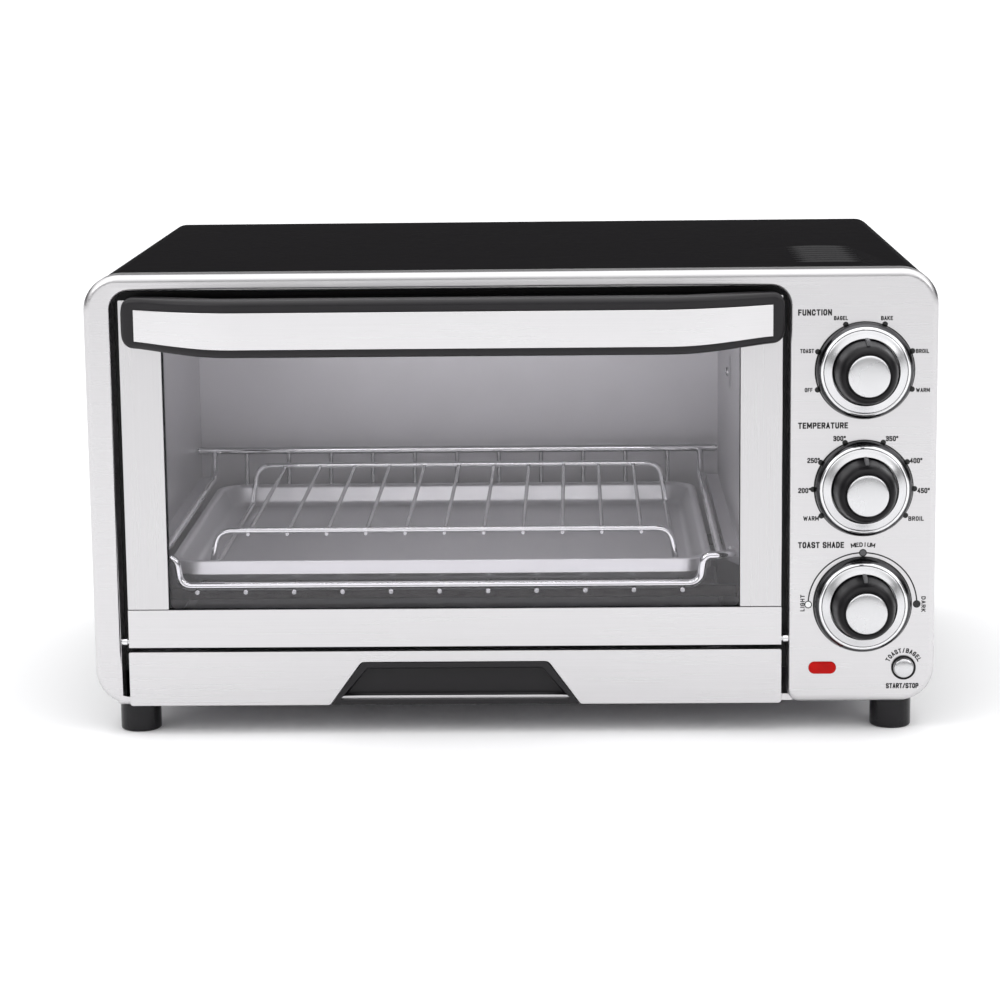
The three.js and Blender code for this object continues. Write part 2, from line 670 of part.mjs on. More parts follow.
// A block that widens upward from one pan outline by flare on every side.
function flaredBlock(inset, flare, z0, z1) {
  const geometry = new THREE.ExtrudeGeometry(panOutline(inset), {
    depth: z1 - z0, bevelEnabled: false, curveSegments: 3 });
  const [cx, cy] = [(PAN.left + PAN.right) / 2, (PAN.front + PAN.rear) / 2];
  const kx = 1 + flare / ((PAN.right - PAN.left) / 2 - inset);
  const ky = 1 + flare / ((PAN.rear - PAN.front) / 2 - inset);
  const position = geometry.getAttribute('position');
  for (let i = 0; i < position.count; i += 1) {
    if (position.getZ(i) > 0) {
      position.setX(i, cx + (position.getX(i) - cx) * kx);
      position.setY(i, cy + (position.getY(i) - cy) * ky);
    }
  }
  return solid(geometry.translate(0, 0, z0));
}

function bakingPan() {
  const { bottom, rim, sheet, skirt } = PAN;
  const [floorInset, flare] = [7, 3.5];
  const turnedDown = cut(
    planPlate(panOutline(0), rim - skirt, rim),
    planPlate(panOutline(sheet), rim - skirt - 1, rim - sheet));
  return cut(
    join(flaredBlock(floorInset, flare, bottom, rim), turnedDown),
    flaredBlock(floorInset + sheet, flare, bottom + sheet, rim + 0.5));
}

// The grill that stands in the pan: two raised end bars on feet, joined by
// runners along the pan's floor and by straight wires on top.
function broilRack() {
  const { left, right, front, rear, top, foot: low, splay, wire: radius } = BROIL;
  const ends = [front, rear].map((y) => wire(rounded([
    v3(left - splay, y, low), v3(left, y, top), v3(right, y, top), v3(right + splay, y, low),
  ], 7), radius, 8));
  const runners = [left - splay + 0.2, right + splay - 0.2].map(
    (x) => wire([v3(x, front - 1, low + 0.3), v3(x, rear + 1, low + 0.3)], radius, 6));
  const bars = range(11).map((i) => {
    const x = -137.1 + 20.3 * i;
    return wire([v3(x, front - 1, top - 1.2), v3(x, rear + 1, top - 1.2)], 1.1, 6);
  });
  return join(...ends, ...runners, ...bars);
}

place('oven_rack', ovenRack(), chrome);
place('baking_pan', bakingPan(), panSteel);
place('broil_rack', broilRack(), chrome);

// ----------------------------------------------------------------- crumb tray

// The grip's front view: a trapezium standing on the panel's bottom edge.
function gripOutline(drawIn, bottom) {
  const { middle, topHalf, bottomHalf, top } = GRIP;
  const slope = (bottomHalf - topHalf) / (top - PANEL.bottom);
  const low = bottomHalf - slope * (bottom - PANEL.bottom) - drawIn;
  const high = topHalf - drawIn;
  const peak = top - drawIn;
  const shape = new THREE.Shape();
  shape.moveTo(middle - low, bottom);
  shape.lineTo(middle + low, bottom);
  shape.lineTo(middle + high + 2.4, peak - 3.2);
  shape.quadraticCurveTo(middle + high, peak, middle + high - 3.5, peak);
  shape.lineTo(middle - high + 3.5, peak);
  shape.quadraticCurveTo(middle - high, peak, middle - high - 2.4, peak - 3.2);
  shape.closePath();
  return shape;
}

function crumbPanel() {
  const { left, right, bottom, top, rear, sheet } = PANEL;
  const skin = frontPlate(roundedRect(left, bottom, right, top, evenCorners(1.5)), 0, sheet);
  const clearOfLip = OPENING.bottom + 0.4;
  return cut(
    join(
      skin,
      box(left, left + sheet, 0.5, rear, clearOfLip, top - 1.5),
      box(right - sheet, right, 0.5, rear, clearOfLip, top - 1.5),
      box(left, right, 0.5, rear, top - sheet, top)),
    frontPlate(gripOutline(0, PANEL.bottom - 1), -5, sheet + 1));
}

// A black finger scoop set into the panel: a rim plate with a shallow pocket.
function crumbGrip() {
  const wall = 1.3;
  const pocketBottom = 21.6;
  const plateBack = PANEL.sheet + 0.6;
  return cut(
    join(
      frontPlate(gripOutline(GAP, PANEL.bottom + 0.2), -0.2, plateBack),
      frontPlate(gripOutline(1.2, pocketBottom - wall + 0.2), 0.5, GRIP.depth)),
    frontPlate(gripOutline(1.2 + wall, pocketBottom), -5, GRIP.depth - wall));
}

function crumbTray() {
  const { left, right, front, rear, bottom, top, sheet } = TRAY;
  return cut(
    box(left, right, front, rear, bottom, top),
    box(left + sheet, right - sheet, front + sheet, rear - sheet, bottom + sheet, top + 5));
}

place('crumb_tray', crumbTray(), galvanised);
place('crumb_panel', crumbPanel(), stainless);
place('crumb_grip', crumbGrip(), charcoal);

// ----------------------------------------------------------- centred on origin

const frontmost = HANDLE_PLAN.front - PLATE.proud;
oven.position.y = -(frontmost + GLAND.rear) / 2;

export default oven;
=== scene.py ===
"""Looks for the countertop toaster oven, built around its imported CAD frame.

Lengths below are in millimetres: x from the oven's middle, y from the bezel's
front face towards the back, z up from the worktop. at() turns them into metres
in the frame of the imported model.
"""

import json
import math

import bmesh
import bpy
from mathutils import Matrix, Vector
from mathutils.geometry import tessellate_polygon


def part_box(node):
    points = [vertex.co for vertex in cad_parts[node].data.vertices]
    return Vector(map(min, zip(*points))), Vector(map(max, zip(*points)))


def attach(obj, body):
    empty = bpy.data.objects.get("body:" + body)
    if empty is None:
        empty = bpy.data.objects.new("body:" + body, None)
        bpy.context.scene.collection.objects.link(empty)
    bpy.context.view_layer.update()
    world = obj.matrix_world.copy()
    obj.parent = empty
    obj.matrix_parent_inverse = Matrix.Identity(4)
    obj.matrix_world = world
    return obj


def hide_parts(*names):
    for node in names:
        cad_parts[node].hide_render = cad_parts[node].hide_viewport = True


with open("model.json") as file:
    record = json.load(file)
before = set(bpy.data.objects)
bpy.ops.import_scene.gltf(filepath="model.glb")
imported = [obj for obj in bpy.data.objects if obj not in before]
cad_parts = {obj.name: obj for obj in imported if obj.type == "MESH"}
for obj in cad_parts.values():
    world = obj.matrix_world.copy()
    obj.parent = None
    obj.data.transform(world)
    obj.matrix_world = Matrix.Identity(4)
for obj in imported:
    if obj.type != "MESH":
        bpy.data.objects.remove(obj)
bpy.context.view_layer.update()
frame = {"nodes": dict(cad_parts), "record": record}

MM = 0.001
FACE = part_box("front_bezel")[0].y
QUARTER = math.pi / 2


def at(x, y, z):
    return Vector((x * MM, FACE + y * MM, z * MM))


# ------------------------------------------------------------------ materials


class Nodes:
    """A procedural material being made: its tree, its shader and short ways to add nodes."""

    def __init__(self, name, **values):
        self.material = bpy.data.materials.new(name)
        self.material.use_nodes = True
        self.tree = self.material.node_tree
        self.shader = self.tree.nodes["Principled BSDF"]
        for socket, value in values.items():
            self.shader.inputs[socket.replace("_", " ")].default_value = value
        self.coordinates = self.add("ShaderNodeTexCoord").outputs["Object"]

    def add(self, kind, **settings):
        node = self.tree.nodes.new(kind)
        for key, value in settings.items():
            if hasattr(node, key):
                setattr(node, key, value)
            else:
                node.inputs[key.replace("_", " ")].default_value = value
        return node

    def link(self, output, target):
        self.tree.links.new(output, target)

    def stretched(self, scale):
        mapping = self.add("ShaderNodeMapping")
        mapping.inputs["Scale"].default_value = scale
        self.link(self.coordinates, mapping.inputs["Vector"])
        return mapping.outputs["Vector"]

    def noise(self, scale, detail=3.0, vector=None):
        node = self.add("ShaderNodeTexNoise", Scale=scale, Detail=detail)
        self.link(vector or self.coordinates, node.inputs["Vector"])
        return node.outputs["Fac"]

    def ramp(self, factor, stops):
        node = self.add("ShaderNodeValToRGB")
        elements = node.color_ramp.elements
        for i, (position, colour) in enumerate(stops):
            element = elements[i] if i < 2 else elements.new(position)
            element.position = position
            element.color = (*colour, 1.0)
        self.link(factor, node.inputs["Fac"])
        return node.outputs["Color"]

    def between(self, factor, low, high):
        """The factor's middle 0.3 to 0.7 spread over low to high."""
        node = self.add("ShaderNodeMapRange")
        for socket, value in (("From Min", 0.3), ("From Max", 0.7), ("To Min", low), ("To Max", high)):
            node.inputs[socket].default_value = value
        self.link(factor, node.inputs["Value"])
        return node.outputs["Result"]

    def bump(self, height, strength, distance):
        node = self.add("ShaderNodeBump", Strength=strength, Distance=distance)
        self.link(height, node.inputs["Height"])
        self.link(node.outputs["Normal"], self.shader.inputs["Normal"])


def tint(colour, factor):
    return tuple(min(1.0, c * factor) for c in colour)


def brushed(name, colour, roughness, grain, spread=0.05, depth=0.00002):
    """Metal with fine scratches; grain is how quickly they change along x, y and z."""
    nodes = Nodes(name, Metallic=1.0)
    lines = nodes.noise(1.0, 4.0, nodes.stretched(grain))
    cloud = nodes.noise(22.0, 2.0)
    mixed = nodes.add("ShaderNodeMath", operation="MULTIPLY_ADD")
    mixed.inputs[1].default_value = 0.75
    nodes.link(lines, mixed.inputs[0])
    quarter = nodes.add("ShaderNodeMath", operation="MULTIPLY")
    quarter.inputs[1].default_value = 0.25
    nodes.link(cloud, quarter.inputs[0])
    nodes.link(quarter.outputs[0], mixed.inputs[2])
    pattern = mixed.outputs[0]
    stops = [(0.3, tint(colour, 1 - spread)), (0.7, tint(colour, 1 + spread))]
    nodes.link(nodes.ramp(pattern, stops), nodes.shader.inputs["Base Color"])
    rough = nodes.between(pattern, roughness - 0.05, roughness + 0.06)
    nodes.link(rough, nodes.shader.inputs["Roughness"])
    nodes.bump(lines, 0.25, depth)
    return nodes.material


def cloudy(name, colour, roughness, metallic, spread=0.08, scale=30.0, grain=900.0, depth=0.00003, **more):
    """A coated, moulded or plain metal surface with slight clouding and a fine grain."""
    nodes = Nodes(name, Metallic=metallic, **more)
    cloud = nodes.noise(scale, 4.0)
    stops = [(0.3, tint(colour, 1 - spread)), (0.7, tint(colour, 1 + spread))]
    nodes.link(nodes.ramp(cloud, stops), nodes.shader.inputs["Base Color"])
    rough = nodes.between(cloud, roughness * 0.9, roughness * 1.12)
    nodes.link(rough, nodes.shader.inputs["Roughness"])
    nodes.bump(nodes.noise(grain, 2.0), 0.3, depth)
    return nodes.material


def clear_glass(name):
    """Clear sheet that lets light straight through, with a mirror sheen and faint smears."""
    nodes = Nodes(name)
    tree = nodes.tree
    tree.nodes.remove(nodes.shader)
    clear = nodes.add("ShaderNodeBsdfTransparent", Color=(0.97, 0.966, 0.976, 1))
    sheen = nodes.add("ShaderNodeBsdfGlossy", Color=(0.92, 0.91, 0.93, 1))
    nodes.link(nodes.between(nodes.noise(14.0), 0.03, 0.05), sheen.inputs["Roughness"])
    facing = nodes.add("ShaderNodeLayerWeight", Blend=0.5)
    steep = nodes.add("ShaderNodeMath", operation="POWER")
    steep.inputs[1].default_value = 4.0
    share = nodes.add("ShaderNodeMath", operation="MULTIPLY_ADD")
    share.inputs[1].default_value = 0.8
    share.inputs[2].default_value = 0.03
    nodes.link(facing.outputs["Facing"], steep.inputs[0])
    nodes.link(steep.outputs[0], share.inputs[0])
    mix = nodes.add("ShaderNodeMixShader")
    nodes.link(share.outputs[0], mix.inputs[0])
    nodes.link(clear.outputs[0], mix.inputs[1])
    nodes.link(sheen.outputs[0], mix.inputs[2])
    nodes.link(mix.outputs[0], tree.nodes["Material Output"].inputs["Surface"])
    return nodes.material


STEEL = (0.60, 0.592, 0.60)
# Lighter steel for the handle strip: painted light for the sheen along its bowed face; the strip is the same
# brushed steel as the bezel.
STEEL_WITH_PAINTED_LIGHT = (0.68, 0.672, 0.68)
MATERIALS = {
    "stainless": brushed("brushed_stainless", STEEL, 0.30, (9, 1500, 1500), 0.03),
    # The stiles' steel is brushed upright and tinted to 0.95 of the bezel's; the darker tint is painted
    # shade.
    "upright_stainless": brushed(
        "brushed_stainless_upright", tint(STEEL, 0.95), 0.30, (1500, 1500, 9), 0.03),
    "handle_stainless": brushed("brushed_stainless_painted_light", STEEL_WITH_PAINTED_LIGHT, 0.30, (9, 30, 1500), 0.03),
    "cover_black": cloudy(
        "satin_black_paint", (0.0052, 0.0047, 0.0054), 0.40, 0.0, 0.1, 40, 1800, 0.00002,
        Specular_IOR_Level=0.010),
    # The louvre hoods: the cover's black paint, made lighter and glossier; the lighter colour is a painted
    # sheen on the hoods.
    "louvre_black": cloudy(
        "louvre_black_painted_sheen", (0.0075, 0.0070, 0.0080), 0.26, 0.0, 0.1, 40, 1800, 0.00002,
        Specular_IOR_Level=0.05),
    "frame_black": cloudy("black_enamel", (0.012, 0.012, 0.013), 0.42, 0.0, Specular_IOR_Level=0.3),
    "galvanised": cloudy("aluminised_sheet", (0.61, 0.60, 0.62), 0.38, 0.6, 0.05, 25, 500, 0.00003),
    "chrome": cloudy("polished_chrome", (0.74, 0.74, 0.75), 0.06, 1.0, 0.02, 60, 900, 0.000003),
    # Painted shade: the knobs' chrome darkened for the dark reflections on their outer slopes, which are
    # chrome like the rings.
    "dark_chrome": cloudy("dark_chrome", (0.07, 0.07, 0.073), 0.12, 1.0, 0.1, 60, 900, 0.000003),
    # The rack bars' chrome: the same wire as the rims, darkened as painted shade to damp their bright
    # reflections.
    "wire_chrome": cloudy("chrome_wire_with_painted_shade", (0.46, 0.46, 0.47), 0.22, 1.0, 0.05, 90, 900, 0.000003),
    "satin_ring": cloudy("satin_chrome", (0.62, 0.62, 0.63), 0.24, 1.0, 0.03, 80, 1600, 0.00001),
    "satin_cap": cloudy("satin_silver", (0.60, 0.60, 0.61), 0.26, 0.9, 0.02, 60, 2200, 0.00001),
    "charcoal": cloudy(
        "charcoal_plastic", (0.0100, 0.0090, 0.0105), 0.36, 0.0, 0.12, 70, 2600, 0.00004,
        Specular_IOR_Level=0.28),
    "knob_black": cloudy(
        "black_plastic", (0.0055, 0.0050, 0.0060), 0.34, 0.0, 0.15, 90, 2400, 0.00003,
        Specular_IOR_Level=0.18),
    "element_steel": cloudy("oxidised_sheath", (0.13, 0.12, 0.115), 0.5, 0.7, 0.2, 120, 1500, 0.00005),
    "pan_steel": cloudy("satin_pan_steel", (0.76, 0.755, 0.77), 0.38, 0.85, 0.03, 18, 700, 0.00001),
    "spring_steel": cloudy("drawn_wire", (0.5, 0.5, 0.51), 0.3, 1.0),
    "glass": clear_glass("clear_glass"),
    "lens_red": cloudy(
        "red_lens", (0.42, 0.004, 0.003), 0.2, 0.0, 0.12, 200, 900, 0.00002,
        Specular_IOR_Level=0.10),
    "foot_plastic": cloudy(
        "glossy_charcoal_plastic", (0.009, 0.0085, 0.010), 0.14, 0.0, 0.1, 80, 900, 0.00001,
        Specular_IOR_Level=0.25),
    "moulded": cloudy("heat_resistant_moulding", (0.62, 0.58, 0.5), 0.5, 0.0),
    "board": cloudy("phenolic_board", (0.16, 0.11, 0.05), 0.6, 0.0),
    "print_black": cloudy("black_print", (0.006, 0.006, 0.006), 0.5, 0.0, 0.1),
    "print_grey": cloudy("grey_print", (0.10, 0.10, 0.105), 0.5, 0.0, 0.1),
    "print_white": cloudy("white_print", (0.85, 0.85, 0.85), 0.5, 0.0, 0.03),
}


# -------------------------------------------------------------- mesh building


def piece(name, points, faces, finish, body, slot=None, stands_for=(), smooth=32):
    """A mesh piece made of points in millimetres, finished and riding on its body."""
    data = bpy.data.meshes.new(name)
    data.from_pydata([at(*p) for p in points], [], faces)
    cleaned = bmesh.new()
    cleaned.from_mesh(data)
    bmesh.ops.remove_doubles(cleaned, verts=cleaned.verts, dist=1e-7)
    bmesh.ops.recalc_face_normals(cleaned, faces=cleaned.faces)
    cleaned.to_mesh(data)
    cleaned.free()
    data.materials.append(MATERIALS[finish])
    data.shade_smooth()
    data.set_sharp_from_angle(angle=math.radians(smooth))
    made = bpy.data.objects.new(name, data)
    bpy.context.scene.collection.objects.link(made)
    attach(made, body)
    if stands_for:
        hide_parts(*stands_for)
    return made


def weighted(made):
    """Face-weighted normals, so that flat faces beside rounded edges shade flat."""
    made.modifiers.new("weighted", "WEIGHTED_NORMAL").keep_sharp = True
    return made


def outline(corners, inset=0.0, steps=6, shares=None):
    """Points round a closed shape through (x, z, radius) corners, anticlockwise.

    The shape is drawn in by inset, of which each edge can take its own share.
    """
    count = len(corners)
    shares = shares or [1.0] * count
    edges = []
    for i, corner in enumerate(corners):
        start = Vector(corner[:2])
        along = (Vector(corners[(i + 1) % count][:2]) - start).normalized()
        edges.append((start + Vector((-along.y, along.x)) * inset * shares[i], along))
    points = []
    for i, corner in enumerate(corners):
        (p0, d0), (p1, d1) = edges[i - 1], edges[i]
        cross = d0.x * d1.y - d0.y * d1.x
        gap = p1 - p0
        meeting = p0 + d0 * ((gap.x * d1.y - gap.y * d1.x) / cross)
        turn = math.atan2(cross, d0.dot(d1))
        sign = 1 if turn > 0 else -1
        share = min(shares[i - 1], shares[i])
        radius = max(corner[2] - sign * inset * share, 0.01)
        start = meeting - d0 * radius * math.tan(abs(turn) / 2)
        centre = start + Vector((-d0.y, d0.x)) * radius * sign
        for s in range(steps + 1):
            points.append(centre + Matrix.Rotation(turn * s / steps, 2) @ (start - centre))
    return points


def ring_at(points, y):
    return [(p.x, y, p.y) for p in points]


def strips(rings, closed=True):
    """Points and faces of a surface through rings that have the same number of points."""
    count = len(rings[0])
    points = [p for ring in rings for p in ring]
    faces = []
    for r in range(len(rings) - 1):
        for i in range(count if closed else count - 1):
            j = (i + 1) % count
            faces.append((r * count + i, r * count + j, (r + 1) * count + j, (r + 1) * count + i))
    return points, faces


def cap(ring, offset, holes=()):
    """Triangles that fill a ring, with holes given as (ring, offset)."""
    loops = [(ring, offset), *holes]
    index = [start + i for loop, start in loops for i in range(len(loop))]
    polygons = [[Vector(p) for p in loop] for loop, _ in loops]
    return [tuple(index[i] for i in triangle) for triangle in tessellate_polygon(polygons)]


def lofted(name, rings, *arguments, ends=(True, True), **named):
    """A skin through rings, closed with a flat cap at each end that is asked for."""
    points, faces = strips(rings)
    if ends[0]:
        faces += cap(rings[0], 0)
    if ends[1]:
        faces += cap(rings[-1], len(points) - len(rings[-1]))
    return piece(name, points, faces, *arguments, **named)


def plate(name, corners, y0, y1, edge, *arguments, steps=6, **named):
    """A plate between y0 (front) and y1 with its front and back edges rounded by edge."""
    turns = [QUARTER * i / 3 for i in range(4)]
    levels = [(edge * (1 - math.sin(t)), y1 - edge * (1 - math.cos(t))) for t in turns]
    levels += [(edge * (1 - math.cos(t)), y0 + edge * (1 - math.sin(t))) for t in turns]
    rings = [ring_at(outline(corners, inset, steps), y) for inset, y in levels]
    return weighted(lofted(name, rings, *arguments, **named))


def rectangle(x0, z0, x1, z1, low_left=1.0, low_right=1.0, top_right=1.0, top_left=1.0):
    return [(x0, z0, low_left), (x1, z0, low_right), (x1, z1, top_right), (x0, z1, top_left)]


def full_turn(sides):
    """Angles that divide a full turn evenly."""
    return [2 * math.pi * i / sides for i in range(sides)]


def turned(name, profile, x, z, *arguments, sides=96, **named):
    """A body turned about a line along y, from (radius, y) pairs; a radius of 0 at an end is a pole."""
    turns = full_turn(sides)
    rings = [
        [(x + radius * math.cos(t), y, z + radius * math.sin(t)) for t in turns]
        for radius, y in profile]
    points, faces = strips(rings)
    return weighted(piece(name, points, faces, *arguments, **named))


def smoothed(corners, reach, steps=6):
    """Corner points in space with each inner corner rounded over the given length."""
    corners = [Vector(c) for c in corners]
    points = [corners[0]]
    for before, corner, after in zip(corners, corners[1:], corners[2:]):
        size = min(reach, (before - corner).length / 2, (after - corner).length / 2)
        start = corner + (before - corner).normalized() * size
        end = corner + (after - corner).normalized() * size
        for s in range(steps + 1):
            t = s / steps
            points.append(start * (1 - t) ** 2 + corner * 2 * t * (1 - t) + end * t * t)
    return [*points, corners[-1]]


def tube(points, radius, sides=14):
    """Points and faces of a round wire with domed ends along a line of points."""
    points = [Vector(p) for p in points]
    kept = [points[0]]
    for p in points[1:]:
        if (p - kept[-1]).length > 1e-3:
            kept.append(p)
    tangents = []
    for i in range(len(kept)):
        tangents.append((kept[min(i + 1, len(kept) - 1)] - kept[max(i - 1, 0)]).normalized())
    side = tangents[0].orthogonal().normalized()
    sections = []
    for i, (p, tangent) in enumerate(zip(kept, tangents)):
        if i:
            side = (side - tangent * side.dot(tangent)).normalized()
        sections.append((p, side.copy(), tangent.cross(side), 1.0))
    first, last = sections[0], sections[-1]
    dome = [(0.75, 0.66), (0.45, 0.9)]
    sections = (
        [(first[0] - tangents[0] * radius * (1 - a), first[1], first[2], b) for a, b in reversed(dome)]
        + sections
        + [(last[0] + tangents[-1] * radius * (1 - a), last[1], last[2], b) for a, b in dome])
    turns = full_turn(sides)
    rings = [
        [p + (across * math.cos(t) + up * math.sin(t)) * radius * size for t in turns]
        for p, across, up, size in sections]
    made_points, faces = strips(rings)
    total = len(made_points)
    faces.append(tuple(range(sides)))
    faces.append(tuple(range(total - sides, total)))
    return made_points, faces


def gathered(parts):
    """Several (points, faces) pairs as one."""
    points, faces = [], []
    for part_points, part_faces in parts:
        start = len(points)
        points += list(part_points)
        faces += [tuple(i + start for i in face) for face in part_faces]
    return points, faces


# --------------------------------------------------------------------- bezel

WIDTH = 425
BOTTOM = 16
TOP = 235.5
OPENING = {"left": -198.7, "right": 138.6, "top": 227}
ROLL = 3.6
BEZEL_DEPTH = 14

BEZEL_OUTLINE = [
    (-WIDTH / 2, BOTTOM, 18), (OPENING["left"], BOTTOM, 1.0), (OPENING["left"], OPENING["top"], 9),
    (OPENING["right"], OPENING["top"], 9), (OPENING["right"], BOTTOM, 6), (WIDTH / 2, BOTTOM, 18),
    (WIDTH / 2, TOP, 18), (-WIDTH / 2, TOP, 18),
]
ROLL_SHARES = [1, 0.25, 0.5, 0.45, 1, 1, 1, 1]


def front_bezel():
    """The rolled steel surround: a flat face that curls back along both its edges."""
    bend = [QUARTER * i / 7 for i in range(8)]
    levels = [(0, BEZEL_DEPTH)]
    levels += [(ROLL * (1 - math.cos(t)), ROLL * (1 - math.sin(t))) for t in bend]
    rings = [ring_at(outline(BEZEL_OUTLINE, inset, 10, ROLL_SHARES), y) for inset, y in levels]
    made = lofted(
        "bezel_skin", rings, "stainless", "chassis", ends=(False, True), slot="stainless",
        stands_for=["front_bezel"], smooth=40)
    thick = made.modifiers.new("thickness", "SOLIDIFY")
    thick.thickness = 0.9 * MM
    thick.offset = -1
    weighted(made)
    lip = rectangle(OPENING["left"] - 3, BOTTOM + 0.5, OPENING["right"] + 3, 20, 0.6, 0.6, 0.6, 0.6)
    plate("bezel_lip", lip, 2.2, 3.2, 0.3, "stainless", "chassis", slot="stainless")


front_bezel()


# --------------------------------------------------------------------- cover

COVER = {
    "side": 209.5, "top": 233.4, "bottom": 16.2, "front": 14.4, "rear": 312,
    "low_corner": 16, "high_corner": 10,
}
LOUVRES = [58 + 11 * i for i in range(8)]
LOUVRE = {"left": 146, "right": 180, "length": 2.4}


def arch(y):
    """Points from the cover's lower left edge over the top to its lower right edge."""
    side, top, bottom = COVER["side"], COVER["top"], COVER["bottom"]
    low, high = COVER["low_corner"], COVER["high_corner"]
    bends = [QUARTER * i / 10 for i in range(11)]
    left = [(-side + low * (1 - math.sin(t)), y, bottom + low * (1 - math.cos(t))) for t in bends]
    left += [(-side, y, z) for z in (90, 160)]
    left += [(-side + high * (1 - math.cos(t)), y, top - high * (1 - math.sin(t))) for t in bends]
    right = [(-x, y, z) for x, y, z in reversed(left)]
    return left, right


def outer_cover():
    """A painted wrap with eight pressed slots in its top."""
    rings = [arch(COVER["front"]), arch(COVER["rear"])]
    points, faces = [], []
    for half in (0, 1):
        part = strips([rings[0][half], rings[1][half]], closed=False)
        points, faces = gathered([(points, faces), part])
    left_front, left_rear = rings[0][0][-1], rings[1][0][-1]
    right_front, right_rear = rings[0][1][0], rings[1][1][0]
    top_loop = [left_front, right_front, right_rear, left_rear]
    loops = [top_loop]
    for y in LOUVRES:
        y1 = y + LOUVRE["length"]
        corners = [(LOUVRE["left"], y), (LOUVRE["right"], y), (LOUVRE["right"], y1), (LOUVRE["left"], y1)]
        loops.append([(a, b, COVER["top"]) for a, b in corners])
    starts = [len(points) + sum(len(loop) for loop in loops[:i]) for i in range(len(loops))]
    points += [p for loop in loops for p in loop]
    faces += cap(loops[0], starts[0], list(zip(loops[1:], starts[1:])))
    made = piece(
        "cover_skin", points, faces, "cover_black", "chassis", slot="cover_black",
        stands_for=["outer_cover"], smooth=40)
    thick = made.modifiers.new("thickness", "SOLIDIFY")
    thick.thickness = 0.9 * MM
    thick.offset = -1
    weighted(made)


def louvre_hood(y):
    """A low pressed hood over one slot, open towards the back."""
    rings = []
    for i in range(13):
        share = i / 12
        x = LOUVRE["left"] + (LOUVRE["right"] - LOUVRE["left"]) * share
        lift = math.sin(math.pi * share) ** 0.45
        row = []
        for front, up in ((0.0, 0.9), (1.2, 0.85), (2.6, 0.55), (4.0, 0.05)):
            row.append((x, y + 3.0 - front, COVER["top"] + 0.05 + up * lift))
        for front, up in ((3.9, -0.3), (2.5, 0.2), (1.2, 0.5), (0.0, 0.55)):
            row.append((x, y + 3.0 - front, COVER["top"] + 0.02 + max(up * lift, -0.3)))
        rings.append(row)
    points, faces = strips(rings)
    return points, [*faces, tuple(range(8)), tuple(range(len(points) - 8, len(points)))]


outer_cover()
hoods, hood_faces = gathered([louvre_hood(y) for y in LOUVRES])
# The hoods take the lightened black: painted sheen.
piece("cover_louvres", hoods, hood_faces, "louvre_black", "chassis", slot="cover_black", smooth=50)


# ---------------------------------------------------------------------- door

DOOR = {"left": -194.8, "right": 135.4, "top": 224, "rear": 9}
STILE = 20.9
RAIL_TOP = 65.4
HANDLE = {"left": -192.7, "right": 135.9, "top": 225, "bottom": 196.8, "end_bottom": 199.8, "corner": 6}
BOW = {"left": -150.5, "right": 91, "end_front": -6.6, "front": -25.8, "back": -12.4}
STRIP = {"left": -185.8, "right": 129.9, "bottom": 201.1, "top": 219.2, "end_rise": 2.6, "proud": 1.3}


def door_skin():
    """The stiles: thin plates, each with a fold back along its outer edge."""
    sides = [("left", DOOR["left"], 1), ("right", DOOR["right"], -1)]
    for side, edge, inward in sides:
        x0, x1 = sorted((edge, edge + STILE * inward))
        corners = rectangle(x0, RAIL_TOP + 0.3, x1, DOOR["top"] - 1, 0.5, 0.5, 0.5, 0.5)
        plate(f"stile_{side}", corners, 0, 1.2, 0.35, "upright_stainless", "door", slot="stainless",
              stands_for=[f"door_stile_{side}"])
        x0, x1 = sorted((edge, edge + 1.2 * inward))
        corners = rectangle(x0, RAIL_TOP + 0.3, x1, DOOR["top"] - 7, 0.3, 0.3, 0.3, 0.3)
        plate(f"stile_return_{side}", corners, 0.6, DOOR["rear"], 0.2, "upright_stainless", "door",
              slot="stainless")


door_skin()


def bow_front(x):
    """The y of the handle's front face at x: straight ends, curved shoulders, straight middle."""
    shoulder = BOW["end_front"] - 1.6
    left, right = HANDLE["left"], HANDLE["right"]
    runs = [
        (left + 8, BOW["left"] - 12, BOW["left"] + 14, x, left),
        (-(right - 8), -(BOW["right"] + 12), -(BOW["right"] - 14), -x, -right),
    ]
    for start, control, end, place, edge in runs:
        if place < start:
            return BOW["end_front"] - 1.6 * (place - edge) / 8
        if place < end:
            a, b, c = start - 2 * control + end, 2 * (control - start), start - place
            t = -c / b if abs(a) < 1e-6 else (-b + math.sqrt(b * b - 4 * a * c)) / (2 * a)
            return shoulder * (1 - t) ** 2 + (BOW["front"] + 3) * 2 * t * (1 - t) + BOW["front"] * t * t
    return BOW["front"]


def bow_back(x):
    """The y of the handle's back face, which stands off the door between its ends."""
    reach = min(x - (HANDLE["left"] + 18), (HANDLE["right"] - 18) - x)
    length = BOW["left"] + 6 - (HANDLE["left"] + 18)
    share = min(max(reach / length, 0), 1)
    return -0.3 + (BOW["back"] + 0.3) * share


def bow_drop(x):
    """How far down the handle's lower edge has come at x, from 0 at its ends to 1."""
    reach = min(x - HANDLE["left"], HANDLE["right"] - x)
    length = BOW["left"] + 10 - HANDLE["left"]
    share = min(max(reach / length, 0), 1)
    return share * share * (3 - 2 * share)


def stations(left, right, corner, count=90):
    """x positions along the handle, closer together round its end corners."""
    bends = [corner * (1 - math.cos(QUARTER * i / 7)) for i in range(8)]
    middle = [left + corner + (right - left - 2 * corner) * i / count for i in range(1, count)]
    return [left + b for b in bends] + middle + [right - b for b in reversed(bends)]


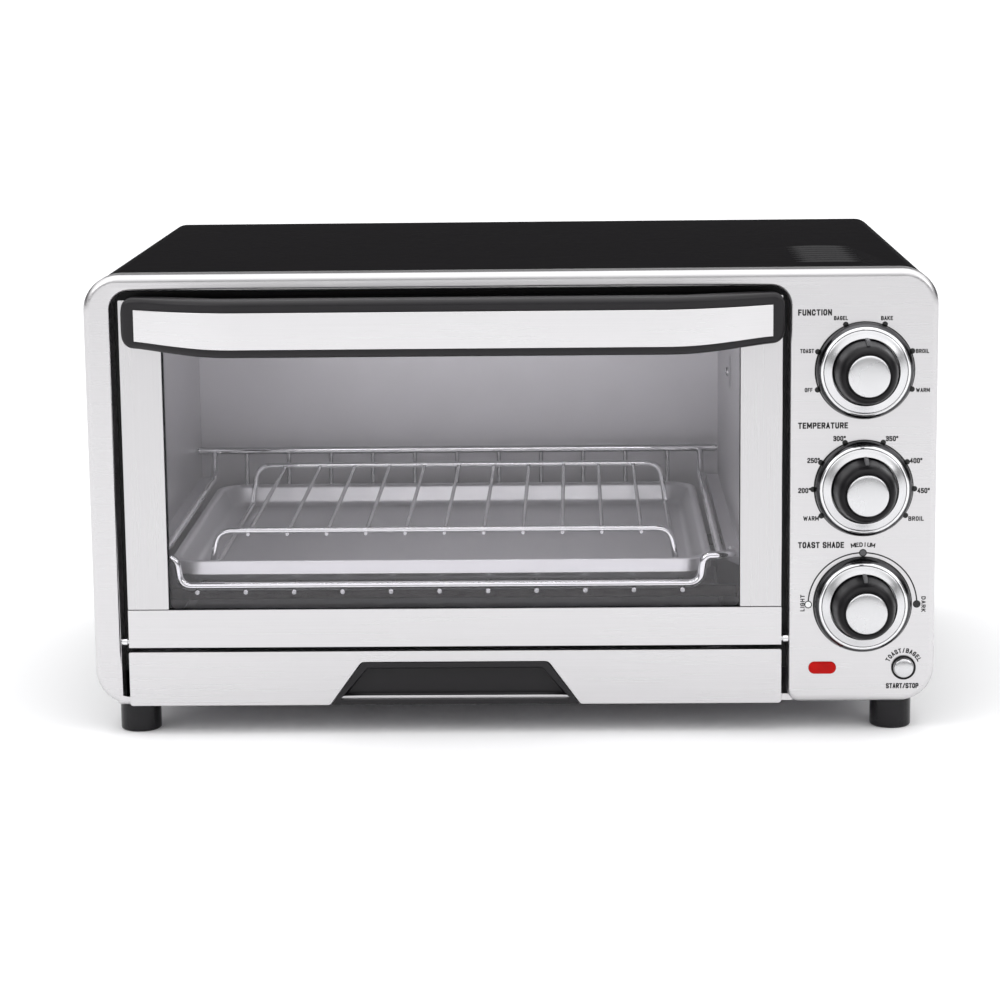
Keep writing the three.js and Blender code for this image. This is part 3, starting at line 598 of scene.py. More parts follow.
def handle_section(x):
    """One closed rounded cross-section of the handle at x."""
    corner = HANDLE["corner"]
    low = HANDLE["end_bottom"] + (HANDLE["bottom"] - HANDLE["end_bottom"]) * bow_drop(x)
    reach = min(x - HANDLE["left"], HANDLE["right"] - x)
    bite = corner - math.sqrt(max(corner ** 2 - (corner - min(reach, corner)) ** 2, 0))
    soften = 1.3 * (1 - min(reach / 2.5, 1)) ** 2
    front, back = bow_front(x) + soften, bow_back(x)
    corners = rectangle(front, low + bite, back, HANDLE["top"] - bite, 2.4, 1.4, 1.4, 2.8)
    return [(x, p.x, p.y) for p in outline(corners, 0, 5)]


def handle():
    rows = stations(HANDLE["left"], HANDLE["right"], HANDLE["corner"])
    rings = [handle_section(x) for x in rows]
    weighted(lofted("handle_bar", rings, "charcoal", "door", slot="charcoal", stands_for=["handle_body"]))
    rings = []
    for x in stations(STRIP["left"], STRIP["right"], 0.4):
        front = bow_front(x) - STRIP["proud"]
        low = STRIP["bottom"] + STRIP["end_rise"] * (1 - bow_drop(x))
        corners = rectangle(front, low, front + 1.6, STRIP["top"], 0.35, 0.2, 0.2, 0.35)
        rings.append([(x, p.x, p.y) for p in outline(corners, 0, 3)])
    weighted(lofted(
        "handle_strip", rings, "handle_stainless", "door", slot="stainless", stands_for=["handle_plate"]))


handle()

# ------------------------------------------------------------------- controls

KNOB_X = 176
KNOB_Z = {"function": 185.1, "temperature": 125.8, "shade": 66.5}
BUTTON = (197, 33.8)
LENS = (156.1, 33.9)

RING_PROFILE = [
    (22.3, -4.6), (22.25, -5.1), (22.0, -5.45), (21.6, -5.65), (21.1, -5.6), (20.9, -5.4), (20.8, -4.6),
    (22.3, -4.6),
]
SLOPE_PROFILE = [
    (17.0, -1.0), (24.1, -1.0), (24.25, -1.3), (24.2, -1.9), (23.9, -2.9), (23.4, -3.9), (22.3, -5.0),
    (21.0, -5.0),
]
BAND_PROFILE = [
    (20.8, -5.0), (20.6, -5.75), (20.3, -5.95), (19.6, -6.2), (18.4, -6.7), (17.4, -7.2), (16.9, -7.4),
    (16.7, -7.2), (16.7, -5.0),
]
GRIP_PROFILE = [
    (0, -1.2), (16.2, -1.2), (16.2, -6.0), (15.9, -9.0), (15.3, -12.0), (14.8, -15.5), (14.4, -18.0),
    (13.9, -19.7), (13.2, -20.9), (12.2, -21.8), (11.5, -22.0), (10.9, -21.8), (10.7, -21.3),
    (10.7, -20.4), (0, -20.4),
]
CAP_PROFILE = [
    (0, -20.7), (10.25, -20.7), (10.35, -21.0), (10.35, -22.6), (10.2, -23.0), (9.9, -23.25),
    (9.0, -23.5), (7.2, -23.75), (5, -23.92), (2.5, -24.0), (0, -24.02),
]


def knob(name, z):
    body = f"{name}_knob"
    # The outer slope is chrome darkened with painted shade.
    turned(f"{name}_slope", SLOPE_PROFILE, KNOB_X, z, "dark_chrome", body, slot="chrome",
           stands_for=[f"{name}_knob_skirt"])
    turned(f"{name}_ring", RING_PROFILE, KNOB_X, z, "chrome", body, slot="chrome")
    turned(f"{name}_band", BAND_PROFILE, KNOB_X, z, "satin_ring", body, slot="chrome")
    turned(f"{name}_barrel", GRIP_PROFILE, KNOB_X, z, "knob_black", body, slot="knob_black",
           stands_for=[f"{name}_knob_grip"])
    turned(f"{name}_face", CAP_PROFILE, KNOB_X, z, "satin_cap", body, slot="satin_cap",
           stands_for=[f"{name}_knob_cap"])
    corners = rectangle(KNOB_X - 0.85, z + 13.6, KNOB_X + 0.85, z + 17.3, 0.3, 0.3, 0.3, 0.3)
    plate(f"{name}_pointer", corners, -17.4, -8.2, 0.2, "print_grey", body, steps=3)


for knob_name, knob_z in KNOB_Z.items():
    knob(knob_name, knob_z)

turned(
    "button_dome",
    [(0, 6.0), (4.8, 6.0), (4.9, 5.6), (4.9, -1.4), (4.75, -2.0), (4.2, -2.4), (3.2, -2.65), (1.8, -2.85),
     (0, -2.9)],
    *BUTTON, "satin_cap", "start_button", slot="satin_cap", stands_for=["start_button"], sides=64)
turned(
    "button_bush",
    [(5.15, 4.0), (5.15, -0.8), (5.3, -1.1), (5.9, -1.1), (6.15, -0.9), (6.2, -0.35), (5.8, -0.3),
     (5.8, 4.0), (5.15, 4.0)],
    *BUTTON, "knob_black", "chassis", slot="knob_black", stands_for=["button_ring"], sides=64)
lens_half = (7.0, 3.15)
lens_corners = rectangle(
    LENS[0] - lens_half[0], LENS[1] - lens_half[1], LENS[0] + lens_half[0], LENS[1] + lens_half[1],
    3.1, 3.1, 3.1, 3.1)
plate("lamp_lens", lens_corners, -1.05, 3.4, 0.8, "lens_red", "chassis", slot="lens_red",
      stands_for=["indicator_lens"], steps=10)


# ------------------------------------------------------------------- printing

PRINT_Y = -0.05
SHADE_LEAN = 0.97
TITLE_HEIGHT = 3.1
TITLES = {
    "FUNCTION": (151.1, 214.2, 16.7), "TEMPERATURE": (155.5, 157.6, 24.8), "TOAST SHADE": (155.0, 97.0, 23.0),
}
LEGENDS = [
    ("BAGEL", 163.9, 211.3, 6.9, 2.1), ("BAKE", 186.6, 211.1, 5.9, 2.1), ("TOAST", 147.3, 195.0, 6.9, 2.1),
    ("BROIL", 204.3, 194.6, 6.6, 2.1), ("OFF", 148.2, 175.5, 3.9, 2.1), ("WARM", 204.8, 175.1, 6.9, 2.1),
    ("300°", 163.7, 151.0, 6.2, 2.6), ("350°", 189.8, 150.8, 6.2, 2.6),
    ("250°", 150.9, 140.0, 6.2, 2.6), ("400°", 201.9, 139.6, 6.2, 2.6),
    ("200°", 146.5, 124.8, 6.2, 2.6), ("450°", 205.8, 124.4, 6.2, 2.6),
    ("WARM", 149.9, 110.6, 7.8, 2.3), ("BROIL", 202.3, 110.2, 7.7, 2.3),
    ("START/STOP", 196.5, 24.3, 16.4, 2.7),
]
DOT = {"x_reach": 25.3, "z_reach": 24.9, "radius": 1.4}
SHADE_MARK = {"reach": 27.2, "radius": 1.45}
DOTS = {"function": [22.5, 67.5, 112.5], "temperature": [22, 58, 91, 124]}
STROKE = 0.22
LETTER_GAP = 0.4
WIDTHS = {"I": 0.0, "L": 0.42, "E": 0.44, "F": 0.42, "M": 0.72, "W": 0.9, "/": 0.4, "°": 0.2, " ": 0.1}
GLYPHS = {
    " ": [],
    "/": [[(0, 0), (1, 1)]],
    "°": [[(0, 0.75), (0, 1), (1, 1), (1, 0.75), (0, 0.75)]],
    "0": [[(0, 0.2), (0, 0.8), (0.25, 1), (0.75, 1), (1, 0.8), (1, 0.2), (0.75, 0), (0.25, 0), (0, 0.2)]],
    "2": [[(0, 0.8), (0.2, 1), (0.8, 1), (1, 0.82), (1, 0.62), (0, 0.12), (0, 0), (1, 0)]],
    "3": [[(0, 0.85), (0.2, 1), (0.8, 1), (1, 0.85), (1, 0.66), (0.75, 0.52), (0.35, 0.52)],
          [(0.75, 0.52), (1, 0.36), (1, 0.15), (0.8, 0), (0.2, 0), (0, 0.15)]],
    "4": [[(0.75, 0), (0.75, 1), (0, 0.32), (1, 0.32)]],
    "5": [[(0.95, 1), (0.1, 1), (0.05, 0.55), (0.75, 0.6), (1, 0.45), (1, 0.15), (0.8, 0), (0.2, 0),
           (0, 0.12)]],
    "A": [[(0, 0), (0.5, 1), (1, 0)], [(0.2, 0.3), (0.8, 0.3)]],
    "B": [[(0, 0), (0, 1), (0.75, 1), (0.95, 0.85), (0.95, 0.66), (0.75, 0.53), (0, 0.53)],
          [(0.75, 0.53), (1, 0.38), (1, 0.15), (0.78, 0), (0, 0)]],
    "C": [[(1, 0.75), (0.75, 1), (0.25, 1), (0, 0.75), (0, 0.25), (0.25, 0), (0.75, 0), (1, 0.25)]],
    "D": [[(0, 0), (0, 1), (0.65, 1), (1, 0.75), (1, 0.25), (0.65, 0), (0, 0)]],
    "E": [[(1, 1), (0, 1), (0, 0), (1, 0)], [(0, 0.52), (0.85, 0.52)]],
    "F": [[(1, 1), (0, 1), (0, 0)], [(0, 0.5), (0.85, 0.5)]],
    "G": [[(1, 0.78), (0.75, 1), (0.25, 1), (0, 0.75), (0, 0.25), (0.25, 0), (0.75, 0), (1, 0.22),
           (1, 0.46), (0.6, 0.46)]],
    "H": [[(0, 0), (0, 1)], [(1, 0), (1, 1)], [(0, 0.52), (1, 0.52)]],
    "I": [[(0, 0), (0, 1)]],
    "K": [[(0, 0), (0, 1)], [(1, 1), (0, 0.4)], [(0.35, 0.6), (1, 0)]],
    "L": [[(0, 1), (0, 0), (1, 0)]],
    "M": [[(0, 0), (0, 1), (0.5, 0.25), (1, 1), (1, 0)]],
    "N": [[(0, 0), (0, 1), (1, 0), (1, 1)]],
    "O": [[(0, 0.25), (0, 0.75), (0.25, 1), (0.75, 1), (1, 0.75), (1, 0.25), (0.75, 0), (0.25, 0),
           (0, 0.25)]],
    "P": [[(0, 0), (0, 1), (0.75, 1), (1, 0.86), (1, 0.58), (0.75, 0.44), (0, 0.44)]],
    "R": [[(0, 0), (0, 1), (0.75, 1), (1, 0.86), (1, 0.6), (0.75, 0.47), (0, 0.47)], [(0.55, 0.47), (1, 0)]],
    "S": [[(1, 0.82), (0.8, 1), (0.2, 1), (0, 0.85), (0, 0.68), (0.2, 0.55), (0.8, 0.45), (1, 0.32),
           (1, 0.15), (0.8, 0), (0.2, 0), (0, 0.18)]],
    "T": [[(0, 1), (1, 1)], [(0.5, 1), (0.5, 0)]],
    "U": [[(0, 1), (0, 0.2), (0.25, 0), (0.75, 0), (1, 0.2), (1, 1)]],
    "W": [[(0, 1), (0.25, 0), (0.5, 0.8), (0.75, 0), (1, 1)]],
}


def flat(shape):
    """A filled print shape from its outline, as points and faces just off the panel."""
    ring = [(x, PRINT_Y, z) for x, z in shape]
    return ring, cap(ring, 0)


def disc(x, z, radius, sides=28):
    return flat([(x + radius * math.cos(t), z + radius * math.sin(t)) for t in full_turn(sides)])


def arc_band(x, z, inner, outer, start, end, steps=72, lean=1.0):
    """A printed arc between two radii, from start to end degrees clockwise of straight up.

    Its height is its width times lean.
    """
    turns = [math.radians(start + (end - start) * i / steps) for i in range(steps + 1)]
    rings = [
        [(x + r * math.sin(t), PRINT_Y, z + r * lean * math.cos(t)) for t in turns]
        for r in (inner, outer)]
    return strips(rings, closed=False)


def skeleton(text):
    """The strokes of a line of text on a height of 1, and its length."""
    lines, reach = [], 0.0
    for character in text:
        width = WIDTHS.get(character, 0.5)
        lines += [[(reach + px * width, py) for px, py in line] for line in GLYPHS[character]]
        reach += width + LETTER_GAP
    return lines, reach - LETTER_GAP


def label(text, x, z, width, height, turn=0.0):
    """Text fitted into a width and height about (x, z), turned anticlockwise by degrees."""
    lines, length = skeleton(text)
    half = STROKE * height / 2
    across, up = (width - 2 * half) / max(length, 0.01), height - 2 * half
    spin = Matrix.Rotation(math.radians(turn), 2)
    shapes = []
    for line in lines:
        path = [Vector(((px - length / 2) * across, (py - 0.5) * up)) for px, py in line]
        for a, b in zip(path, path[1:]):
            along = (b - a).normalized() * half
            side = Vector((-along.y, along.x))
            corners = [a - along - side, b + along - side, b + along + side, a - along + side]
            placed = [spin @ corner for corner in corners]
            shapes.append(([(x + p.x, PRINT_Y, z + p.y) for p in placed], [(0, 1, 2, 3)]))
    return gathered(shapes)


def arc_label(text, x, z, radius, letter, height, spread):
    """Letters set one by one along an arc over (x, z)."""
    first = -spread * (len(text) - 1) / 2
    parts = []
    for i, character in enumerate(text):
        angle = math.radians(first + spread * i)
        width = letter * {"I": 0.35, "/": 0.7, "M": 1.25, "W": 1.3}.get(character, 1.0)
        parts.append(label(
            character, x + radius * math.sin(angle), z + radius * math.cos(angle), width, height,
            -math.degrees(angle)))
    return parts


def printing():
    black, grey, white = [], [], []
    for text, (x, z, width) in TITLES.items():
        black.append(label(text, x, z, width, TITLE_HEIGHT))
    for text, x, z, width, height in LEGENDS:
        black.append(label(text, x, z, width, height))
    shade = KNOB_Z["shade"]
    black.append(label("LIGHT", 145.9, 67.3, 8.5, 2.2, 90))
    black.append(label("DARK", 206.6, 66.4, 8.0, 2.2, -90))
    black += arc_label("MEDIUM", KNOB_X, shade, 30.6, 1.75, 2.3, 3.75)
    black += arc_label("TOAST/BAGEL", *BUTTON, 8.8, 1.5, 2.4, 12.6)
    for name, angles in DOTS.items():
        for angle in angles:
            for side in (-1, 1):
                turn = math.radians(angle * side)
                x = KNOB_X + DOT["x_reach"] * math.sin(turn)
                z = KNOB_Z[name] + DOT["z_reach"] * math.cos(turn)
                black.append(disc(x, z, DOT["radius"]))
    for z in KNOB_Z.values():
        black.append(arc_band(KNOB_X, z, 23.8, 24.9, 0, 360, 120, lean=0.985))
    for start in (-86, 4):
        black.append(arc_band(KNOB_X, shade, 26.9, 27.6, start, start + 82, lean=SHADE_LEAN))
    for angle, group in ((-90, white), (0, grey), (90, black)):
        turn = math.radians(angle)
        x = KNOB_X + SHADE_MARK["reach"] * math.sin(turn)
        z = shade + SHADE_MARK["reach"] * SHADE_LEAN * math.cos(turn)
        group.append(disc(x, z, SHADE_MARK["radius"]))
        black.append(arc_band(x, z, SHADE_MARK["radius"], SHADE_MARK["radius"] + 0.5, 0, 360, 40))
    for name, parts in (("black", black), ("grey", grey), ("white", white)):
        piece(f"printing_{name}", *gathered(parts), f"print_{name}", "chassis")


printing()


# ----------------------------------------------------------------- crumb tray

PANEL = {"left": -195.2, "right": 135.6, "bottom": 15.6, "top": 43.6}
GRIP = {"middle": -29.6, "top_half": 47.4, "bottom_half": 63.6, "top": 37.9}


def grip_corners(grow, bottom, radius):
    """The grip's trapezium, grown outwards by grow and cut off level at bottom."""
    middle, top_half, bottom_half = GRIP["middle"], GRIP["top_half"], GRIP["bottom_half"]
    slope = (bottom_half - top_half) / (GRIP["top"] - PANEL["bottom"])
    low = bottom_half - slope * (bottom - PANEL["bottom"]) + grow
    high = top_half + grow
    top = GRIP["top"] + grow
    return [
        (middle - low, bottom, 0.3), (middle + low, bottom, 0.3), (middle + high, top, radius),
        (middle - high, top, radius),
    ]


def crumb_panel():
    notch = grip_corners(0, PANEL["bottom"], 3.4)
    left, right, top_right, top_left = notch
    corners = [
        (PANEL["left"], PANEL["bottom"], 1.5), (left[0], left[1], 2.2), (*top_left[:2], 3.4),
        (*top_right[:2], 3.4), (right[0], right[1], 2.2), (PANEL["right"], PANEL["bottom"], 1.5),
        (PANEL["right"], PANEL["top"], 0.8), (PANEL["left"], PANEL["top"], 0.8),
    ]
    plate("tray_panel", corners, 0, 1.2, 0.45, "stainless", "crumb_tray", slot="stainless",
          stands_for=["crumb_panel"])
    for side, edge, inward in (("left", PANEL["left"], 1), ("right", PANEL["right"], -1)):
        x0, x1 = sorted((edge, edge + 1.0 * inward))
        corners = rectangle(x0, 20.6, x1, PANEL["top"] - 1.3, 0.3, 0.3, 0.3, 0.3)
        plate(f"tray_panel_return_{side}", corners, 0.7, 7.9, 0.2, "stainless", "crumb_tray",
              slot="stainless")
    corners = rectangle(PANEL["left"] + 0.4, PANEL["top"] - 1.2, PANEL["right"] - 0.4, PANEL["top"] - 0.05,
                        0.3, 0.3, 0.3, 0.3)
    plate("tray_panel_fold", corners, 0.7, 7.9, 0.2, "stainless", "crumb_tray", slot="stainless")


def crumb_grip():
    outer = grip_corners(-0.3, PANEL["bottom"] + 0.2, 3.2)
    pocket = grip_corners(-3.0, 18.4, 2.0)
    back = grip_corners(-1.2, 18.4, 2.4)
    rings = [
        ring_at(outline(back, 0), 7.7), ring_at(outline(back, 0), 1.8), ring_at(outline(outer, 0), 1.8),
        ring_at(outline(outer, 0), 0.1), ring_at(outline(outer, 0.2), -0.05),
        ring_at(outline(pocket, -0.2), -0.05), ring_at(outline(pocket, 0), 0.15),
        ring_at(outline(pocket, 0.3), 4.6), ring_at(outline(pocket, 0.8), 5.6),
        ring_at(outline(pocket, 1.8), 6.2),
    ]
    weighted(lofted("tray_grip", rings, "charcoal", "crumb_tray", slot="charcoal", stands_for=["crumb_grip"]))


crumb_panel()
crumb_grip()


# ------------------------------------------------------------- racks and pan

RACK = {"left": -180.5, "right": 105.5, "front": 20, "rear": 262, "back": 104, "high": 88, "low": 73.4}
BROIL = {"left": -153, "right": 81, "front": 39, "rear": 240, "top": 98.7, "foot": 75.7, "splay": 3.6}
RACK_BARS = [-161.6 + 24.8 * i for i in range(11)]
BROIL_BARS = [-137.1 + 20.3 * i for i in range(11)]
PAN = {
    "left": -177, "right": 102, "front": 26, "rear": 254, "bottom": 72.6, "rim": 85.4, "skirt": 7.2,
}


def oven_rack():
    left, right, front, rear = RACK["left"], RACK["right"], RACK["front"], RACK["rear"]
    back, high, low = RACK["back"], RACK["high"], RACK["low"]
    front_bar = [
        (left - 6.5, front + 13, high), (left - 6.5, front + 4, high), (left, front, high),
        (left + 8, front, high), (left + 10, front, low), (right - 10, front, low),
        (right - 8, front, high), (right, front, high), (right + 6.5, front + 4, high),
        (right + 6.5, front + 13, high),
    ]
    rim = [tube(smoothed(front_bar, 6.5, 8), 2.2)]
    for x in (left, right):
        side = [(x, front + 0.5, high), (x, rear - 8, high), (x, rear, back)]
        rim.append(tube(smoothed(side, 6, 5), 2.0))
    rim.append(tube([(left - 9, rear, back), (right + 9, rear, back)], 2.2))
    piece("rack_rim", *gathered(rim), "chrome", "rack", slot="chrome", stands_for=["oven_rack"], smooth=50)
    under = low - 2.8
    bars = []
    for x in RACK_BARS:
        line = [(x, front - 1.6, under), (x, rear - 4, under), (x, rear, back - 0.5)]
        bars.append(tube(smoothed(line, 6, 5), 1.25, 10))
    # The bars take the darkened chrome: painted shade.
    piece("rack_bars", *gathered(bars), "wire_chrome", "rack", slot="chrome", smooth=50)


def broil_rack():
    left, right = BROIL["left"], BROIL["right"]
    front, rear, top, low = BROIL["front"], BROIL["rear"], BROIL["top"], BROIL["foot"]
    splay = BROIL["splay"]
    frame_wires = []
    for y in (front, rear):
        line = [(left - splay, y, low), (left, y, top), (right, y, top), (right + splay, y, low)]
        frame_wires.append(tube(smoothed(line, 7.5, 8), 1.6))
    for x in (left - splay, right + splay):
        frame_wires.append(tube([(x, front - 1, low), (x, rear + 1, low)], 1.6))
    piece("broil_frame", *gathered(frame_wires), "chrome", "broil_rack", slot="chrome",
          stands_for=["broil_rack"], smooth=50)
    bars = [
        tube([(x, front - 1.0, top - 1.6), (x, rear + 1.0, top - 1.6)], 1.05, 10) for x in BROIL_BARS]
    # The bars take the darkened chrome: painted shade.
    piece("broil_bars", *gathered(bars), "wire_chrome", "broil_rack", slot="chrome", smooth=50)


def pan_ring(inset, z, radius):
    corners = rectangle(PAN["left"] + inset, PAN["front"] + inset, PAN["right"] - inset, PAN["rear"] - inset,
                        radius, radius, radius, radius)
    return [(p.x, p.y, z) for p in outline(corners, 0, 9)]


def baking_pan():
    """A pressed pan: a turned-down rim, sloping walls that curve into the floor, a thin underside."""
    bottom, rim, skirt = PAN["bottom"], PAN["rim"], PAN["skirt"]
    levels = [
        (11.5, bottom + 0.05, 11), (8.3, bottom + 0.9, 13), (6.4, bottom + 3.2, 15), (4.2, rim - 2.4, 16),
        (3.4, rim - 1.2, 16.5), (1.2, rim - 1.2, 17.2), (1.0, rim - 1.5, 17.2), (1.0, rim - skirt, 17.2),
        (0.6, rim - skirt - 0.15, 17.5), (0.2, rim - skirt, 17.8), (0.0, rim - skirt + 0.4, 18),
        (0.0, rim - 0.9, 18), (0.25, rim - 0.3, 17.8), (0.9, rim, 17.4), (2.6, rim, 17),
        (3.9, rim - 0.4, 16.2), (4.8, rim - 1.8, 15.6), (7.4, bottom + 4.0, 14), (8.8, bottom + 2.0, 13),
        (11.2, bottom + 1.25, 11),
    ]
    rings = [pan_ring(inset, z, radius) for inset, z, radius in levels]
    weighted(lofted("pan_shell", rings, "pan_steel", "pan", slot="pan_steel", stands_for=["baking_pan"],
                    smooth=60))


oven_rack()
broil_rack()
baking_pan()


# ----------------------------------------------------- elements, feet, fittings

FOOT_RADIUS = 10.4
GLAND = (150, 48)


def element(level, end):
    node = f"{level}_element_{end}"
    low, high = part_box(node)
    y = (low.y + high.y) / 2 / MM - FACE / MM
    z = (low.z + high.z) / 2 / MM
    points, faces = tube([(low.x / MM + 2, y, z), (high.x / MM - 2, y, z)], 3.2, 24)
    piece(f"{node}_sheath", points, faces, "element_steel", "chassis", slot="element_steel",
          stands_for=[node])


def foot(node):
    low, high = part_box(node)
    x, y = (low.x + high.x) / 2 / MM, (low.y + high.y) / 2 / MM - FACE / MM
    top = high.z / MM
    profile = [(9.0, 0), (9.8, 0.15), (10.3, 0.7), (FOOT_RADIUS, 1.6), (FOOT_RADIUS, top)]
    turns = full_turn(64)
    rings = [
        [(x + radius * math.cos(t), y + radius * math.sin(t), z) for t in turns]
        for radius, z in profile]
    weighted(lofted(f"{node}_cup", rings, "foot_plastic", "chassis", slot="foot_plastic", stands_for=[node]))


for element_level in ("lower", "upper"):
    for element_end in ("front", "rear"):
        element(element_level, element_end)
for foot_end in ("front", "rear"):
    for foot_side in ("left", "right"):
        foot(f"foot_{foot_end}_{foot_side}")

turned(
    "cord_bush",
    [(4.0, 304), (6.6, 304), (6.7, 304.3), (6.7, 312.3), (10.2, 312.3), (10.5, 312.7), (10.3, 314),
     (9.4, 315.7), (8.8, 316), (4.6, 316), (4.1, 315.7), (4.0, 315.2), (4.0, 304)],
    *GLAND, "knob_black", "chassis", slot="knob_black", stands_for=["cord_gland"], sides=48)

for pin_side in ("left", "right"):
    node = f"hinge_pin_{pin_side}"
    low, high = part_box(node)
    middle = (low + high) / 2
    y, z = (middle.y - FACE) / MM, middle.z / MM
    line = [(low.x / MM + 0.8, y, z), (high.x / MM - 0.8, y, z)]
    piece(f"{node}_shank", *tube(line, 2.0, 24), "chrome", "door", slot="chrome", stands_for=[node])


WALL_BOSS = (145, 165)


def wall_boss():
    """The round pressed boss on the cavity's right wall, with its screw."""
    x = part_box("cavity_right_wall")[1].x / MM - 0.8
    y, z = WALL_BOSS
    turns = full_turn(48)
    profile = [(9.5, 0.0), (9.0, 0.5), (8.2, 0.9), (7.4, 1.0), (0, 1.0)]
    head = [(2.6, 1.0), (2.6, 1.7), (2.1, 2.4), (1.0, 2.8), (0, 2.9)]
    for name, shape, finish in (("wall_boss", profile, "galvanised"), ("wall_screw", head, "chrome")):
        rings = [
            [(x - proud, y + radius * math.cos(t), z + radius * math.sin(t)) for t in turns]
            for radius, proud in shape]
        points, faces = strips(rings)
        weighted(piece(name, points, faces, finish, "chassis", slot=finish))


wall_boss()


# ------------------------------------------------ CAD nodes that keep their shape

EDGE_SOFTENED = {
    "back_panel": 0.2, "base_plate": 0.2, "front_frame": 0.2, "cavity_left_wall": 0.3,
    "cavity_right_wall": 0.3, "element_bracket_left": 0.2, "element_bracket_right": 0.2,
    "hinge_bracket_left": 0.2, "hinge_bracket_right": 0.2, "door_bottom_rail": 0.3, "door_inner_frame": 0.25,
    "door_arm_left": 0.2, "door_arm_right": 0.2, "crumb_tray": 0.25, "function_switch": 0.5,
    "thermostat": 0.5, "shade_timer": 0.5, "door_glass": 0.25,
}


def dress_nodes():
    """Gives every CAD node its record slot's material, and the plain ones softened edges."""
    slots = {part["node"]: part["material_slot"] for part in frame["record"]["subparts"]}
    for name, node in frame["nodes"].items():
        material = MATERIALS[slots[name]]
        for material_slot in node.material_slots:
            material_slot.material = material
        if not node.material_slots:
            node.data.materials.append(material)
        if name in EDGE_SOFTENED:
            soft = node.modifiers.new("soft_edges", "BEVEL")
            soft.width = EDGE_SOFTENED[name] * MM
            soft.segments = 2
            soft.limit_method = "ANGLE"
            soft.angle_limit = math.radians(40)


dress_nodes()


# --------------------------------------------------------- floor, light, camera

CAMERA = {"x": 31.8, "y": -1454.9, "z": 386.1, "yaw": -1.477, "down": 10.321, "roll": -0.655, "lens": 106.25}


def camera():
    """A camera turned by yaw, tilted down and rolled, as the oven is seen in the picture."""
    yaw, down, roll = (math.radians(CAMERA[key]) for key in ("yaw", "down", "roll"))
    ahead = Vector((math.sin(yaw) * math.cos(down), math.cos(yaw) * math.cos(down), -math.sin(down)))
    level = ahead.cross(Vector((0, 0, 1))).normalized()
    upright = level.cross(ahead)
    right = level * math.cos(roll) + upright * math.sin(roll)
    up = upright * math.cos(roll) - level * math.sin(roll)
    data = bpy.data.cameras.new("camera")
    data.sensor_width = 36
    data.lens = CAMERA["lens"]
    data.clip_start, data.clip_end = 0.05, 400
    holder = bpy.data.objects.new("camera", data)
    turn = Matrix((right, up, -ahead)).transposed().to_4x4()
    holder.matrix_world = Matrix.Translation(at(CAMERA["x"], CAMERA["y"], CAMERA["z"])) @ turn
    bpy.context.scene.collection.objects.link(holder)
    bpy.context.scene.camera = holder


def floor():
    size = 120.0
    data = bpy.data.meshes.new("floor")
    corners = [(-size, -size, 0), (size, -size, 0), (size, size, 0), (-size, size, 0)]
    data.from_pydata(corners, [], [(0, 1, 2, 3)])
    nodes = Nodes("pale_floor", Roughness=0.7, Specular_IOR_Level=0.2)
    stops = [(0.3, (0.93, 0.93, 0.935)), (0.7, (0.95, 0.95, 0.955))]
    nodes.link(nodes.ramp(nodes.noise(3.0), stops), nodes.shader.inputs["Base Color"])
    data.materials.append(nodes.material)
    made = bpy.data.objects.new("floor", data)
    bpy.context.scene.collection.objects.link(made)


SKY_IN_FRONT = [(0.0, 1.0), (0.05, 0.9), (0.1, 0.25), (0.24, 0.25), (0.42, 1.3), (1.0, 1.85)]
SKY_BEHIND = [(0.0, 1.0), (0.03, 0.3), (0.06, 0.04), (0.36, 0.05), (0.6, 1.3), (1.0, 1.85)]


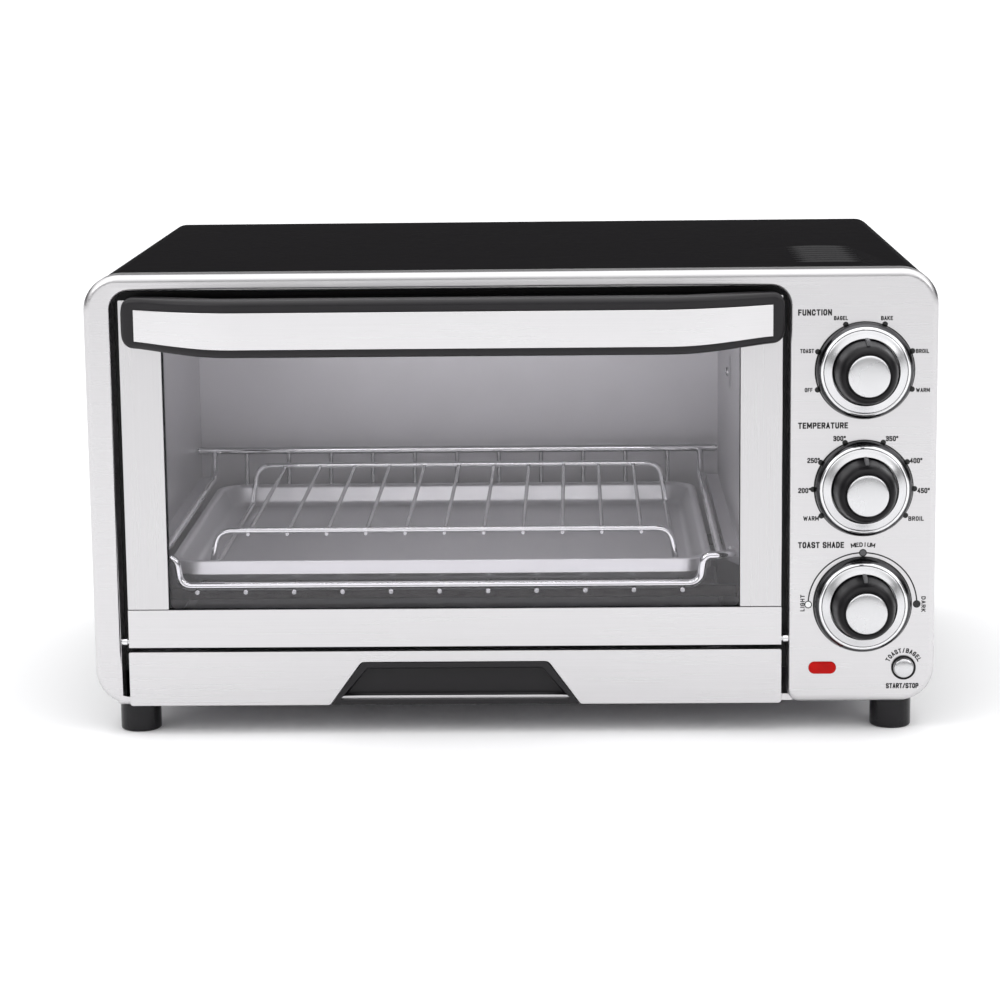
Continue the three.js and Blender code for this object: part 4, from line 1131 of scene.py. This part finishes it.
def sky():
    """Studio surroundings: a pale horizon, a dark wall above it and a bright ceiling."""
    world = bpy.data.worlds.new("studio")
    bpy.context.scene.world = world
    world.use_nodes = True
    tree = world.node_tree
    coordinates = tree.nodes.new("ShaderNodeTexCoord")
    split = tree.nodes.new("ShaderNodeSeparateXYZ")
    tree.links.new(coordinates.outputs["Generated"], split.inputs[0])
    halves = tree.nodes.new("ShaderNodeMix")
    halves.data_type = "RGBA"
    behind = tree.nodes.new("ShaderNodeMapRange")
    behind.inputs["From Min"].default_value = -0.35
    behind.inputs["From Max"].default_value = 0.35
    tree.links.new(split.outputs["Y"], behind.inputs["Value"])
    tree.links.new(behind.outputs["Result"], halves.inputs["Factor"])
    for socket, stops in (("A", SKY_IN_FRONT), ("B", SKY_BEHIND)):
        ramp = tree.nodes.new("ShaderNodeValToRGB")
        tree.links.new(split.outputs["Z"], ramp.inputs["Fac"])
        elements = ramp.color_ramp.elements
        for i, (position, value) in enumerate(stops):
            stop = elements[i] if i < 2 else elements.new(position)
            stop.position = position
            stop.color = (value, value, value * 1.005, 1)
        colour = next(i for i in halves.inputs if i.identifier == f"{socket}_Color")
        tree.links.new(ramp.outputs["Color"], colour)
    mixed = next(o for o in halves.outputs if o.identifier == "Result_Color")
    tree.links.new(mixed, tree.nodes["Background"].inputs["Color"])


SOFTBOXES = [
    ("softbox_left", (-1.7, -1.5, 1.5), (0, 0, 0.1), (1.2, 1.0), 7),
    ("softbox_right", (1.9, -1.3, 1.3), (0, 0, 0.1), (0.9, 1.0), 5),
    ("softbox_top", (0, -0.3, 2.3), (0, -0.1, 0.1), (2.2, 1.6), 8),
]


def softbox(name, place, target, size, power):
    data = bpy.data.lights.new(name, "AREA")
    data.shape = "RECTANGLE"
    data.size, data.size_y = size
    data.energy = power
    lamp = bpy.data.objects.new(name, data)
    lamp.location = place
    lamp.rotation_euler = (Vector(target) - Vector(place)).to_track_quat("-Z", "Y").to_euler()
    bpy.context.scene.collection.objects.link(lamp)
    return lamp


camera()
floor()
sky()
for lamp_row in SOFTBOXES:
    softbox(*lamp_row)
inside = softbox("cavity_light", at(-37, 24, 201), at(-37, 230, 120), (0.24, 0.012), 0.08)
inside.visible_camera = False

scene = bpy.context.scene
scene.view_settings.view_transform = "Standard"
